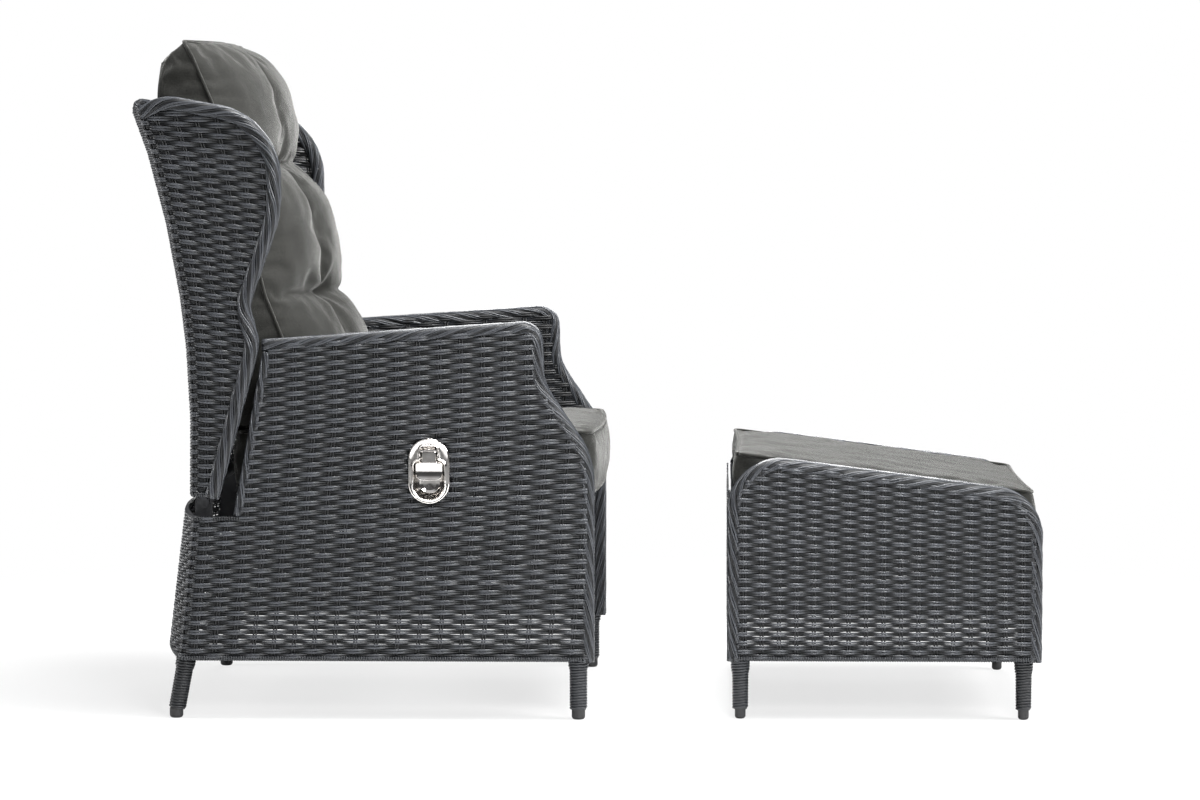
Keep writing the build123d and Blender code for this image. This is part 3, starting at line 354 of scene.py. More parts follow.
def weave(name, body, outline, stake_at, flat, lift, rows, stakes, pitch=PITCH, holes=(), seed=1,
          swing=2.7, thick=1.3, open_below=0.0):
    """rows is (first, last) height, stakes is (first, last) number. Lengths are in mm."""
    chance = np.random.default_rng(seed)
    strands = Strands()

    def shown(a, b):
        mask = inside(outline, a, b)
        for hole in holes:
            mask &= ~inside(hole, a, b)
        return mask

    wide, high = oval(WEAVER_SIDES)
    count = int((rows[1] - rows[0]) / pitch) + 1
    for row in range(count):
        v = rows[0] + row * pitch
        row_chance = np.random.default_rng(100 + row)
        for half in (-1, 1):
            shift, tone = row_chance.uniform(-0.15, 0.15), row_chance.random()
            cover = np.interp(v, (open_below, open_below + OPEN_FADE), (OPEN_COVER, CLOSE_COVER))
            fine = np.arange(stakes[0], stakes[1] + 1e-6, SEARCH_STEP)
            mask = shown(*flat(stake_at(fine, v), np.full_like(fine, v)))
            for first, last in stretches(mask):
                if last - first < 6:
                    continue
                start, end = fine[first] * RINGS_PER_STAKE, fine[last] * RINGS_PER_STAKE
                s = np.arange(np.ceil(start + 0.2), end - 0.2) / RINGS_PER_STAKE
                s = np.concatenate([[fine[first]], s, [fine[last]]])
                wave = np.cos(pi * (s + row))
                h = swing * wave * (1.18 - 0.18 * wave**2) + chance.normal(0, 0.12, len(s))
                middle = v + half * pitch / 4 * (1 + 0.08 * wave) + shift
                middle = middle + chance.normal(0, 0.08, len(s))
                u = stake_at(s, v)[:, None] + np.zeros(WEAVER_SIDES)
                across = wide * pitch / 4 * cover * (1.0 - 0.03 * wave[:, None])
                a, b = flat(u, middle[:, None] + across)
                # Painted shade: the crest value makes the weaver dark where it dives and pale on
                # top.
                strands.add(lift(a, b, h[:, None] + high * thick), tone, 0.5 + 0.5 * wave)
    wide, high = oval(STAKE_SIDES)
    for number in range(int(np.ceil(stakes[0])), int(stakes[1]) + 1):
        for half in (-1, 1):
            tone = chance.random()
            v = np.arange(rows[0] - pitch, rows[1] + pitch, 1.5)
            mask = shown(*flat(stake_at(np.full_like(v, number), v), v))
            for first, last in stretches(mask):
                if last - first < 4:
                    continue
                rings = max(2, int((v[last] - v[first]) / STAKE_RING_GAP))
                spots = np.linspace(v[first], v[last], rings)
                u = stake_at(np.full_like(spots, number), spots)[:, None] + half * STAKE_GAP
                a, b = flat(u + wide * STAKE_HALF_WIDTH, spots[:, None] + np.zeros(STAKE_SIDES))
                # Painted shade: the stakes, which lie under the weavers, get a low crest value and
                # a dark grey.
                strands.add(lift(a, b, high + np.zeros_like(a)), tone, 0.2)
    return strands.finish(name, cane, body)


# %% [markdown]
# Every finish is a small tree of shader nodes. These helpers each add one node to a tree and
# hand back its output, so that a finish reads like a sum.


# %% Shader helpers
def new_finish(name, rough=0.5, metal=0.0, specular=0.5):
    finish = bpy.data.materials.new(name)
    finish.use_nodes = True
    shader = finish.node_tree.nodes["Principled BSDF"]
    shader.inputs["Metallic"].default_value = metal
    shader.inputs["Roughness"].default_value = rough
    shader.inputs["Specular IOR Level"].default_value = specular
    return finish, finish.node_tree, shader


def stretched(tree, output, scale):
    """Coordinates of that output, scaled on each axis."""
    mapping = tree.nodes.new("ShaderNodeMapping")
    mapping.inputs["Scale"].default_value = scale
    tree.links.new(output, mapping.inputs["Vector"])
    return mapping.outputs["Vector"]


def ramp(tree, value, *stops):
    """Colours at places between 0 and 1."""
    node = tree.nodes.new("ShaderNodeValToRGB")
    while len(node.color_ramp.elements) < len(stops):
        node.color_ramp.elements.new(0.5)
    for element, (place, colour) in zip(node.color_ramp.elements, stops):
        element.position = place
        element.color = (*colour, 1)
    tree.links.new(value, node.inputs["Fac"])
    return node.outputs["Color"]


def noise(tree, vector, scale, detail=3.0, rough=0.55):
    node = tree.nodes.new("ShaderNodeTexNoise")
    node.inputs["Scale"].default_value = scale
    node.inputs["Detail"].default_value = detail
    node.inputs["Roughness"].default_value = rough
    tree.links.new(vector, node.inputs["Vector"])
    return node.outputs["Fac"]


def maths(tree, operation, first, second):
    node = tree.nodes.new("ShaderNodeMath")
    node.operation = operation
    for socket, value in zip(node.inputs, (first, second)):
        if isinstance(value, (int, float)):
            socket.default_value = value
        else:
            tree.links.new(value, socket)
    return node.outputs[0]


def weighted(tree, *terms):
    """The sum of outputs, each multiplied by its weight."""
    total = maths(tree, "MULTIPLY", *terms[0])
    for output, weight in terms[1:]:
        total = maths(tree, "ADD", total, maths(tree, "MULTIPLY", output, weight))
    return total


def bump(tree, shader, height, strength, distance):
    node = tree.nodes.new("ShaderNodeBump")
    node.inputs["Strength"].default_value = strength
    node.inputs["Distance"].default_value = distance
    tree.links.new(height, node.inputs["Height"])
    tree.links.new(node.outputs["Normal"], shader.inputs["Normal"])


# %% [markdown]
# The cane is dark anthracite plastic with a satin skin. No two strands are quite the same
# grey, and fine lines run along each of them, as the die leaves them. The strand's own
# number gives its grey, and a noise drawn out along the strand gives the lines. The crest
# value paints light and shade into the grey: a strand is painted paler where it lies on top
# and darker where it dives under its neighbours, and it is also smoother on top.

# %% Cane finish
cane, tree, shader = new_finish("anthracite_cane", rough=0.36, specular=0.42)
strand_map = tree.nodes.new("ShaderNodeUVMap")
strand_map.uv_map = "strand"
tone_of = tree.nodes.new("ShaderNodeAttribute")
tone_of.attribute_name = "tone"
lines = noise(tree, stretched(tree, strand_map.outputs["UV"], (14, 9, 1)), 1.0, 4.0)
spots = noise(tree, stretched(tree, strand_map.outputs["UV"], (45, 1.5, 1)), 1.0, 2.0)
crest_painted_light = tree.nodes.new("ShaderNodeAttribute")
crest_painted_light.attribute_name = "crest"
grain = weighted(tree, (lines, 0.2), (spots, 0.12))
# The crest value paints shade: deep parts of the weave come out darker, tops paler.
tone_and_painted_light = weighted(tree, (tone_of.outputs["Fac"], 0.16), (crest_painted_light.outputs["Fac"], 0.55))
shade = maths(tree, "ADD", tone_and_painted_light, grain)
grey = ramp(tree, shade, (0.15, (0.0026, 0.0029, 0.0033)), (0.5, (0.0074, 0.0081, 0.0094)),
            (0.85, (0.058, 0.062, 0.07)))
tree.links.new(grey, shader.inputs["Base Color"])
satin = maths(tree, "ADD", weighted(tree, (lines, 0.1), (crest_painted_light.outputs["Fac"], -0.31)), 0.5)
tree.links.new(satin, shader.inputs["Roughness"])
bump(tree, shader, lines, 0.25, 0.0003)
print(cane.name, "nodes", len(tree.nodes))

# %% [markdown]
# Each side of the chair has an outer and an inner skin on the same tubes. The stakes fan out
# a little towards the front, and the rows climb with the arm. The outline runs along the
# middle of the braids, so every strand ends out of sight inside them.

# %% Plan of a side
SIDE_MIDDLE, OUTER_WEAVE, INNER_WEAVE = 317.5, 336.2, 298.8
SKIRT_BOTTOM, SKIRT_TOP, ROLL = 95.0, 332.0, 5.0
LOW_EDGE, HIGH_EDGE = SKIRT_BOTTOM + ROLL, SKIRT_TOP - ROLL
REAR_LOW, REAR_HIGH = -649.0, -625.0
ROWS_END, OPEN_UP_TO = 640, 130
CORNER, SIDE_FRONT, GAP_BEHIND_ARM = 12.0, 19, -549
arm_line = rounded([(-508, 608), (-65, 638.5), (-62.5, 545), (SIDE_FRONT, 424),
                    (SIDE_FRONT, SKIRT_BOTTOM)], (22, 90, 130))
rear_braid_line = [(GAP_BEHIND_ARM, SKIRT_TOP), (-500, 598)]
side_outline = np.concatenate([
    arm_line, [(SIDE_FRONT, LOW_EDGE), (REAR_LOW + CORNER, LOW_EDGE),
               (REAR_HIGH + CORNER, HIGH_EDGE), (GAP_BEHIND_ARM, HIGH_EDGE)], rear_braid_line[1:]])
SIDE_STAKES, STAKE_SPACING, STAKE_FAN = (0.5, 21), 31.0, 0.16
CLIMB, CLIMB_WITHIN, CLIMB_FROM = 0.06, 520, -640


def climb(v):
    """How much the rows rise towards the front at a height."""
    return CLIMB * np.clip((v - SKIRT_BOTTOM) / CLIMB_WITHIN, 0, 1)


def side_flat(u, v):
    return u, v + climb(v) * (u - CLIMB_FROM)


def side_stake(s, v):
    """Stakes from the rear corner forwards, fanned: closer at the back, wider in front."""
    up = np.clip((v - SKIRT_BOTTOM) / (SKIRT_TOP - SKIRT_BOTTOM), 0, 1.6)
    rear = REAR_LOW + CORNER + (REAR_HIGH - REAR_LOW) * up
    return rear + STAKE_SPACING * (s - 0.5) + STAKE_FAN * (s - 0.5) ** 2


def flat_side(side, depth):
    """Lift of an upright side panel that stands that deep from the chair's middle."""
    def lift(a, b, h):
        return np.stack([a, side * (depth + h), b + 0 * a], -1) * MM
    return lift


def stadium(x, z, width, height, count=16):
    """Upright oval with straight sides."""
    radius, angle = width / 2, np.linspace(0, pi, count)
    across, up = radius * np.cos(angle), height / 2 - radius + radius * np.sin(angle)
    return np.concatenate([np.stack([x + across, z + up], -1), np.stack([x - across, z - up], -1)])


print("a side's outline has", len(side_outline), "points")

# %% [markdown]
# The right outer skin leaves an upright oval free for the lever's plate. The inner skin begins
# at the height of the seat's deck.

# %% Sides of the chair
HANDLE, HOLE_WIDE, HOLE_HIGH = (-238.0, 406.0), 64, 103
handle_hole = stadium(*HANDLE, HOLE_WIDE, HOLE_HIGH)
for name, side in SIDES.items():
    piece = weave(f"outer_weave_{name}", "base", side_outline, side_stake, side_flat,
                  flat_side(side, OUTER_WEAVE), (LOW_EDGE + PITCH / 2, ROWS_END), SIDE_STAKES,
                  holes=[handle_hole] if side < 0 else (), seed=11 + side, open_below=OPEN_UP_TO)
    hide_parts(f"outer_side_weave_{name}")

DECK_TOP = 371.0
inner_outline = np.concatenate([arm_line[arm_line[:, 1] > DECK_TOP],
                                [(SIDE_FRONT, DECK_TOP), (-542, DECK_TOP)],
                                rear_braid_line[1:]])
for name, side in SIDES.items():
    piece = weave(f"inner_weave_{name}", "base", inner_outline, side_stake, side_flat,
                  flat_side(side, INNER_WEAVE), (DECK_TOP - 28, ROWS_END), SIDE_STAKES,
                  seed=21 + side)
    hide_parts(f"inner_side_weave_{name}")

# %% [markdown]
# The rear skirt and the tall back are bowed sheets. In plan each is a shallow curve that
# turns round a small corner at both ends and meets the side there. A flat point of these
# panels is the length along that curve from the middle, and the height.


# %% Bowed panels
def bowed_lift(heights, rear, bow, end_y, half_run, corner=12.0):
    """Lift for a bowed sheet. Tables by height: its rear line, its bow, where its ends stand."""
    def lift(a, b, h):
        line, depth, side_y = (np.interp(b, heights, table) for table in (rear, bow, end_y))
        start = side_y - corner * (1 - np.sin(np.arctan(2 * depth / (side_y - corner))))
        first = np.arctan(2 * depth / start)
        q = np.abs(a) / half_run * (start + corner * (pi / 2 - first) + 1.0)
        on_bow = np.minimum(q, start)
        past = np.maximum(q - start, 0)
        angle = np.where(past > 0, np.minimum(first + past / corner, pi / 2),
                         np.arctan(2 * depth * on_bow / start**2))
        straight = np.maximum(past - corner * (pi / 2 - first), 0)
        turned_x = np.where(past > 0, corner * (np.cos(first) - np.cos(angle)), 0)
        turned_y = np.where(past > 0, corner * (np.sin(angle) - np.sin(first)), 0)
        x = line - depth * (1 - (on_bow / start) ** 2) + turned_x + straight - h * np.cos(angle)
        y = (on_bow + turned_y + h * np.sin(angle)) * np.sign(a)
        return np.stack([x, y, b + 0 * a], -1) * MM
    return lift


def even_stakes(spacing, start=0.0):
    return lambda s, v: start + spacing * s


def level(u, v):
    return u, v


def rectangle(left, right, low, high):
    return np.array([(left, low), (right, low), (right, high), (left, high)], float)


HALF_RUN, BACK_STAKES = 340.0, 10.5
WEAVE_DEPTH = 3.8
skirt_rear = (REAR_LOW + WEAVE_DEPTH, REAR_HIGH + WEAVE_DEPTH)
skirt_lift = bowed_lift((SKIRT_BOTTOM, SKIRT_TOP), skirt_rear, (51, 45),
                        (OUTER_WEAVE, OUTER_WEAVE), HALF_RUN)
back_stake = even_stakes(HALF_RUN / BACK_STAKES)
piece = weave("rear_skirt", "base", rectangle(-HALF_RUN, HALF_RUN, LOW_EDGE, HIGH_EDGE),
              back_stake, level, skirt_lift, (LOW_EDGE + PITCH / 2, SKIRT_TOP),
              (-BACK_STAKES, BACK_STAKES), seed=31)
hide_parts("rear_skirt_weave")

# %% [markdown]
# The back is a tall shell of one weave: a bowed middle and two splayed wings. On the wings the
# stakes lean back with the rear edge and draw together lower down, and the rows droop
# towards the front, as they do when a weaver follows such a curve.

# %% Back shell and wings
BACK_BOTTOM, BACK_TOP = 361.0, 985.0
back_heights = np.array((361, 485, 601, 685, 803, 918, 985), float)
back_line = np.array((-629, -627, -632, -641, -661, -689, -712), float)
SPLAY, SPLAY_FROM = tan(radians(4.5)), -629
WING_WEAVE = 331.5


def wing_y(x):
    return WING_WEAVE + (x - SPLAY_FROM) * SPLAY


def bow_at(z):
    """How far the back bows out behind its ends at a height."""
    return 22 + 18 * (z - BACK_BOTTOM) / (BACK_TOP - BACK_BOTTOM)


back_lift = bowed_lift(back_heights, back_line + WEAVE_DEPTH, bow_at(back_heights),
                       wing_y(back_line + CORNER), HALF_RUN)
ROW_START, LOWER_ROWS = BACK_BOTTOM + 2 * ROLL + PITCH / 2, 40
halves = {"lower": (ROW_START, 673, BACK_BOTTOM + ROLL, ROW_START + (LOWER_ROWS - 0.5) * PITCH),
          "upper": (ROW_START + LOWER_ROWS * PITCH, 992,
                    ROW_START + LOWER_ROWS * PITCH - PITCH / 2, 992)}
for name, (first_row, last_row, low, high) in halves.items():
    outline = rectangle(-HALF_RUN, HALF_RUN, low, high)
    weave(f"back_shell_{name}", "backrest", outline, back_stake, level,
                             back_lift, (first_row, last_row), (-BACK_STAKES, BACK_STAKES),
                             seed=41)
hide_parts("back_weave")

wing_route = rounded([(-704, 982), (-666, 1002), (-487, 969), (-487, 821), (-540, 672),
                      (-522, 612), (-591, BACK_BOTTOM)], (60, 110, 150, 60, 60))
rear_edge = [(x + CORNER + 2, z) for z, x in zip(back_heights, back_line)]
wing_foot = [(-591, BACK_BOTTOM + ROLL), (rear_edge[0][0], BACK_BOTTOM + ROLL)]
wing_outline = np.concatenate([wing_route, wing_foot, rear_edge[1:]])


def wing_flat(u, v):
    droop = np.interp(v, (361, 480, 700, 850, 960, 985), (0, 0.07, 0.13, 0.15, 0.05, 0))
    return u, v - droop * (u - np.interp(v, back_heights, back_line) - CORNER)


def wing_stake(s, v):
    spacing = np.interp(v, (361, 600, 820, 985), (29, 28, 28, 33))
    return np.interp(v, back_heights, back_line) + CORNER + 2 + spacing * (s - 0.5)


def wing_lift(side):
    def lift(a, b, h):
        return np.stack([a, side * (wing_y(a) + h), b + 0 * a], -1) * MM
    return lift


for name, side in SIDES.items():
    piece = weave(f"wing_weave_{name}_cane", "backrest", wing_outline, wing_stake, wing_flat,
                  wing_lift(side), (ROW_START, 1030), (0.5, 9), seed=51 + side)
    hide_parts(f"wing_weave_{name}")

# %% [markdown]
# The seat and the footstool's deck are woven too, in flatter and wider cane that carries the
# cushions. Under the front of the seat a short woven apron hides the front rail.



# %% Decks and apron
def deck_lift(height):
    """Lift of a deck that lies at height(x)."""
    def lift(a, b, h):
        return np.stack([b + 0 * a, a + 0 * b, height(b) + h], -1) * MM
    return lift


def cross_lift(x, facing):
    """Lift of an upright panel across the chair, facing forwards (1) or backwards (-1)."""
    def lift(a, b, h):
        return np.stack([x + facing * h, a + 0 * b, b + 0 * a], -1) * MM
    return lift


DECK_PITCH, DECK_SWING = 17.0, 2.2
DECK_HALF, DECK_REAR, DECK_FRONT, DECK_DEPTH = 294, -560, -21, 4.5
piece = weave("seat_deck_cane", "base", rectangle(-DECK_HALF, DECK_HALF, DECK_REAR, DECK_FRONT),
              even_stakes(42.0), level, deck_lift(lambda x: DECK_TOP - DECK_DEPTH),
              (DECK_REAR + 9, DECK_FRONT - 3), (-7, 7), pitch=DECK_PITCH, swing=DECK_SWING, seed=61)
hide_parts("seat_deck")
APRON_LOW, APRON_X = 317, -14.5
piece = weave("seat_apron_cane", "base", rectangle(-DECK_HALF, DECK_HALF, APRON_LOW, DECK_TOP),
              even_stakes(32.0), level, cross_lift(APRON_X, 1), (APRON_LOW + 4, DECK_TOP - 2),
              (-9, 9), seed=62)
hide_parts("seat_front_weave")

# %% [markdown]
# The footstool is a box of four panels on legs of its own. Its top slopes down towards the
# feet, and the rows of its sides turn slowly from level at the bottom to that slope.

# %% Footstool weave
STOOL_Y, STOOL_REAR, STOOL_FRONT = 320.0, 244.0, 755.0
STOOL_HIGH, STOOL_LOW = 437.0, 371.0
STOOL_SLOPE = (STOOL_LOW - STOOL_HIGH) / (STOOL_FRONT - STOOL_REAR)
STOOL_BAND = 22.0


def stool_top(x):
    return STOOL_HIGH + (x - STOOL_REAR) * STOOL_SLOPE


stool_left, stool_right = STOOL_REAR + STOOL_BAND / 2, STOOL_FRONT - STOOL_BAND / 2
stool_line = rounded(
    [(stool_left, SKIRT_BOTTOM), (stool_left, stool_top(stool_left) - STOOL_BAND / 2),
     (stool_right, stool_top(stool_right) - STOOL_BAND / 2), (stool_right, SKIRT_BOTTOM)], (76, 70))
stool_outline = np.concatenate([stool_line, [(stool_right, LOW_EDGE), (stool_left, LOW_EDGE)]])


def stool_flat(u, v):
    return u, v - 0.05 * np.clip((v - 200) / 200, 0, 1) * (u - STOOL_REAR)


STOOL_PITCH, STOOL_FIRST_ROW = 7.3, LOW_EDGE + 3.6
STOOL_HALF, STOOL_DECK_DEPTH = 280, 70.5
for name, side in SIDES.items():
    piece = weave(f"stool_weave_{name}", "footstool", stool_outline, even_stakes(28.2, STOOL_REAR),
                  stool_flat, flat_side(side, STOOL_Y - 3.5), (STOOL_FIRST_ROW, 470), (0.5, 18),
                  pitch=STOOL_PITCH, seed=71 + side, open_below=OPEN_UP_TO)
    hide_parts(f"stool_side_weave_{name}")
for name, face, facing in (("rear", STOOL_REAR + 4, -1), ("front", STOOL_FRONT - 4, 1)):
    top = stool_top(face) - 66
    piece = weave(f"stool_end_{name}", "footstool",
                  rectangle(-STOOL_HALF, STOOL_HALF, LOW_EDGE, top), even_stakes(28.0), level,
                  cross_lift(face, facing), (STOOL_FIRST_ROW, top - 2), (-10, 10),
                  pitch=STOOL_PITCH, seed=81 + facing)
    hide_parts(f"stool_end_weave_{name}")
piece = weave("stool_deck_cane", "footstool", rectangle(-STOOL_HALF, STOOL_HALF, 258, 741),
              even_stakes(40.0), level, deck_lift(lambda x: stool_top(x) - STOOL_DECK_DEPTH),
              (266, 740), (-7, 7), pitch=DECK_PITCH, swing=DECK_SWING, seed=91)
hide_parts("stool_deck")

# %% [markdown]
# A braid covers each tube edge. Plies of four strands lie side by side round the edge and
# turn about it slowly, so the rope crosses the edge at about twenty degrees.
# Each strand follows the outline of the edge, a rounded bar, while it moves along the route.


# %% Braid maker
ROPE_SIDES = 5


def bar_outline(half_across, half_band, corner, count=240):
    """Points and outward directions round a rounded bar, evenly spaced, and its length round."""
    flat_a, flat_b = half_across - corner, half_band - corner
    angle = np.linspace(0, 2 * pi, 4 * count, endpoint=False) + 1e-6
    nx, ny = np.cos(angle), np.sin(angle)
    x, y = flat_a * np.sign(nx) + corner * nx, flat_b * np.sign(ny) + corner * ny
    x, y, nx, ny = (np.append(v, v[0]) for v in (x, y, nx, ny))
    length = length_along(np.stack([x, y], -1))
    even = np.linspace(0, length[-1], count, endpoint=False)
    return [np.interp(even, length, v) for v in (x, y, nx, ny)], length[-1]


def braid(name, body, route, across, half_across, half_band, corner, plies=8, per_ply=4,
          angle=20.0, hand=1, thick=2.0, bulge=3.0, seed=3, slot_node=None):
    """A rope border: route in millimetres, across is the direction from face to face. The bar
    inside has half_across along it, half_band square to it, and rounded corners."""
    chance = np.random.default_rng(seed)
    route = np.array(route, float)
    across = np.array(across, float)
    band = unit_rows(np.cross(unit_rows(np.gradient(route, axis=0)), across))
    length = length_along(route)
    (x, y, nx, ny), round_length = bar_outline(half_across, half_band, corner)
    strands = Strands()
    total = plies * per_ply
    spots = np.arange(len(x)) / len(x) * round_length
    width = round_length / total * 0.5
    for number in range(total):
        off_crown = (2 * ((number % per_ply) - (per_ply - 1) / 2) / per_ply) ** 2
        sway = 0.5 * np.sin(length / 37 + chance.uniform(0, 6))
        sway = sway + 0.3 * np.sin(length / 13 + chance.uniform(0, 6))
        place = round_length * number / total + hand * length * tan(radians(angle)) + sway
        a, b, na, nb = (np.interp(place % round_length, spots, v, period=round_length)
                        for v in (x, y, nx, ny))
        depth = -thick - bulge * off_crown + 0.25 * np.sin(length / 21 + chance.uniform(0, 6))
        a, b = a + na * depth, b + nb * depth
        points = route + across * a[:, None] + band * b[:, None]
        outward = across * na[:, None] + band * nb[:, None]
        rings = rope_rings(points, outward, width, thick, ROPE_SIDES) * MM
        # Painted shade: strands at the edges of a ply, down in the grooves, get a darker grey.
        strands.add(rings, chance.random(), 1.0 - 0.95 * off_crown)
    piece = strands.finish(name, cane, body)
    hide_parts(slot_node or name.replace("_rope", ""))


def in_side(points, y):
    return [(x, y, z) for x, z in points]


ARM_BAR, ARM_REAR_BAR, WING_BAR = (22.6, 10.4, 9.0), (22.5, 8.0, 6.0), (15, 11.5, 9.0)
STOOL_BAR, BACK_TOP_BAR = (20.2, 11.2, 9.0), (11, 11, 10.9)
print("length round the arm's bar", round(bar_outline(*ARM_BAR)[1], 1), "mm")

# %% [markdown]
# The two sides are braided in opposite hands, so the left one mirrors the right one. The back's
# top braid runs along a bow and turns in behind the wings at both ends.

# %% Braids of the arms, the wings, the back and the footstool
TO_THE_LEFT, STOOL_MIDDLE = (0, 1, 0), 300
for name, side in SIDES.items():
    braid(f"arm_braid_{name}_rope", "base", in_side(arm_line, side * SIDE_MIDDLE), TO_THE_LEFT,
          *ARM_BAR, hand=side, seed=5 + side)
    wing_points = [(x, side * (328 + (x - SPLAY_FROM) * SPLAY), z) for x, z in wing_route]
    splayed = (-side * SPLAY, 1, 0) / np.hypot(1, SPLAY)
    braid(f"wing_braid_{name}_rope", "backrest", wing_points, splayed, *WING_BAR,
          plies=6, hand=side, seed=8 + side)
    braid(f"stool_braid_{name}_rope", "footstool", in_side(stool_line, side * STOOL_MIDDLE),
          TO_THE_LEFT, *STOOL_BAR, hand=side, seed=12 + side)
for name, side in SIDES.items():
    line = rounded(rear_braid_line, ())
    braid(f"arm_rear_braid_{name}_rope", "base", in_side(line, side * SIDE_MIDDLE), TO_THE_LEFT,
          *ARM_REAR_BAR, plies=7, hand=side, seed=15 + side, slot_node="arm_rear_braids")
TOP_Z, TOP_BOW, TOP_STATIONS = 996.3, 40, 60
top_points = [(-701 - TOP_BOW * (1 - s * s), 305 * s, TOP_Z)
              for s in np.linspace(-0.95, 0.95, TOP_STATIONS)]
top_points = rounded([(-683, -324, 995), (-709, -322, TOP_Z), *top_points,
                      (-709, 322, TOP_Z), (-683, 324, 995)], [14] + [60] * TOP_STATIONS + [14])
braid("back_top_braid_rope", "backrest", top_points, (0, 0, 1), *BACK_TOP_BAR,
      plies=4, angle=24, seed=19)

# %% [markdown]
# Thin cane is wound round the legs and round the lower edges, turn beside turn. A winding is
# a helix round a line. A plain core under it stops light between the turns.


# %% Winding maker
CORE_SIDES, ASKEW = 10, (0.31, 0.57, 0.76)


def round_line(points):
    """Two directions square to a line at each of its points."""
    run = unit_rows(np.gradient(points, axis=0))
    first = unit_rows(np.cross(run, ASKEW))
    return first, np.cross(run, first)


def winding(name, body, lines, radius, pitch, per_turn, nodes_replaced=(), thick=1.3, seed=23):
    """Each line, of points in millimetres, gets a core and a helix. radius is (share, mm) pairs."""
    chance = np.random.default_rng(seed)
    strands = Strands()
    for line in lines:
        line = np.array(line, float)
        length = length_along(line)
        even = np.linspace(0, length[-1], int(length[-1] / pitch * per_turn) + 1)
        middle = at_lengths(line, length, even)
        radii = np.interp(even / length[-1], *zip(*radius))
        first, second = round_line(middle)
        angle = 2 * pi * np.arange(len(even)) / per_turn
        outward = first * np.cos(angle)[:, None] + second * np.sin(angle)[:, None]
        path = middle + outward * (radii - thick)[:, None]
        rings = rope_rings(path, outward, pitch / 2 * 0.97, thick, ROPE_SIDES)
        strands.add(rings * MM, chance.random())
        core = middle[:: per_turn * 4] if len(middle) > per_turn * 8 else middle[[0, -1]]
        first, second = (direction[:, None] for direction in round_line(core))
        turn = 2 * pi * np.arange(CORE_SIDES)[None, :, None] / CORE_SIDES
        ring = first * np.cos(turn) + second * np.sin(turn)
        strands.add((core[:, None] + ring * (radii.min() - thick * 1.1)) * MM, 0.1)
    piece = strands.finish(name, cane, body)
    if nodes_replaced:
        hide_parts(*nodes_replaced)


# %% [markdown]
# The legs are wound from just above their glides up to the weave, where the winding swells over
# the ends of the stakes. The rolls that close the lower edges are thinner and tighter.

# %% Leg wraps and edge rolls
WRAP_START, WRAP_END = 18.0, 97
LEG_PITCH, LEG_PER_TURN = 4.6, 10
leg_lines = [[(3, y, WRAP_START), (3, y, WRAP_END)] for y in (-SIDE_MIDDLE, SIDE_MIDDLE)]
leg_lines += [[(-655 + 21 * z / 112, y, z) for z in (WRAP_START, WRAP_END)]
              for y in (-SIDE_MIDDLE, SIDE_MIDDLE)]
winding("leg_wraps_cane", "base", leg_lines, [(0, 14.6), (0.8, 14.9), (0.86, 16.8), (1, 17.2)],
        LEG_PITCH, LEG_PER_TURN, ["leg_wraps"])
STOOL_LEGS_X = (266, 726)
stool_legs = [[(x, y, WRAP_START), (x, y, WRAP_END)]
              for x in STOOL_LEGS_X for y in (-STOOL_MIDDLE, STOOL_MIDDLE)]
winding("stool_leg_wraps_cane", "footstool", stool_legs,
        [(0, 13.2), (0.7, 13.8), (0.8, 15.6), (1, 16.4)], LEG_PITCH, LEG_PER_TURN,
        ["stool_leg_wraps"])

ROLL_RADIUS, ROLL_PITCH, ROLL_PER_TURN = [(0, ROLL), (1, ROLL)], 4.0, 7
SIDE_ROLL_Y, STOOL_ROLL_Y = 340 - ROLL, STOOL_Y - ROLL
side_rolls = [[(x, side * SIDE_ROLL_Y, z) for x in (rear, front)]
              for rear, front, z in ((REAR_LOW + 8, 10, LOW_EDGE), (REAR_HIGH + 6, -545, HIGH_EDGE))
              for side in SIDES.values()]
around = np.linspace(-HALF_RUN, HALF_RUN, 60)
within = np.full_like(around, -1.5)
for height in (LOW_EDGE, HIGH_EDGE):
    side_rolls.append(skirt_lift(around, np.full_like(around, height), within) / MM)
winding("base_edge_rolls", "base", side_rolls, ROLL_RADIUS, ROLL_PITCH, ROLL_PER_TURN)
back_rolls = [back_lift(around, np.full_like(around, BACK_BOTTOM + ROLL), within) / MM]
back_rolls += [[(x, side * wing_y(x), BACK_BOTTOM + ROLL) for x in (-616, -592)]
               for side in SIDES.values()]
winding("back_edge_rolls", "backrest", back_rolls, ROLL_RADIUS, ROLL_PITCH, ROLL_PER_TURN)
stool_rolls = [[(x, side * STOOL_ROLL_Y, LOW_EDGE) for x in (256, 744)]
               for side in SIDES.values()]
stool_rolls += [[(x, -279, z), (x, 279, z)] for x, z in (
    (249.3, LOW_EDGE), (749.7, LOW_EDGE),
    (249.3, stool_top(249) - 69), (749.7, stool_top(750) - 69))]
winding("stool_edge_rolls", "footstool", stool_rolls, ROLL_RADIUS, ROLL_PITCH, ROLL_PER_TURN)

# %% [markdown]
# The cushions are sewn from olive grey cloth in a plain weave. The pattern follows the piece's
# own map, laid out in metres. Crossing threads give a fine relief, slubs and dust give the
# uneven grey, and a sheen lightens the cloth where it turns away.


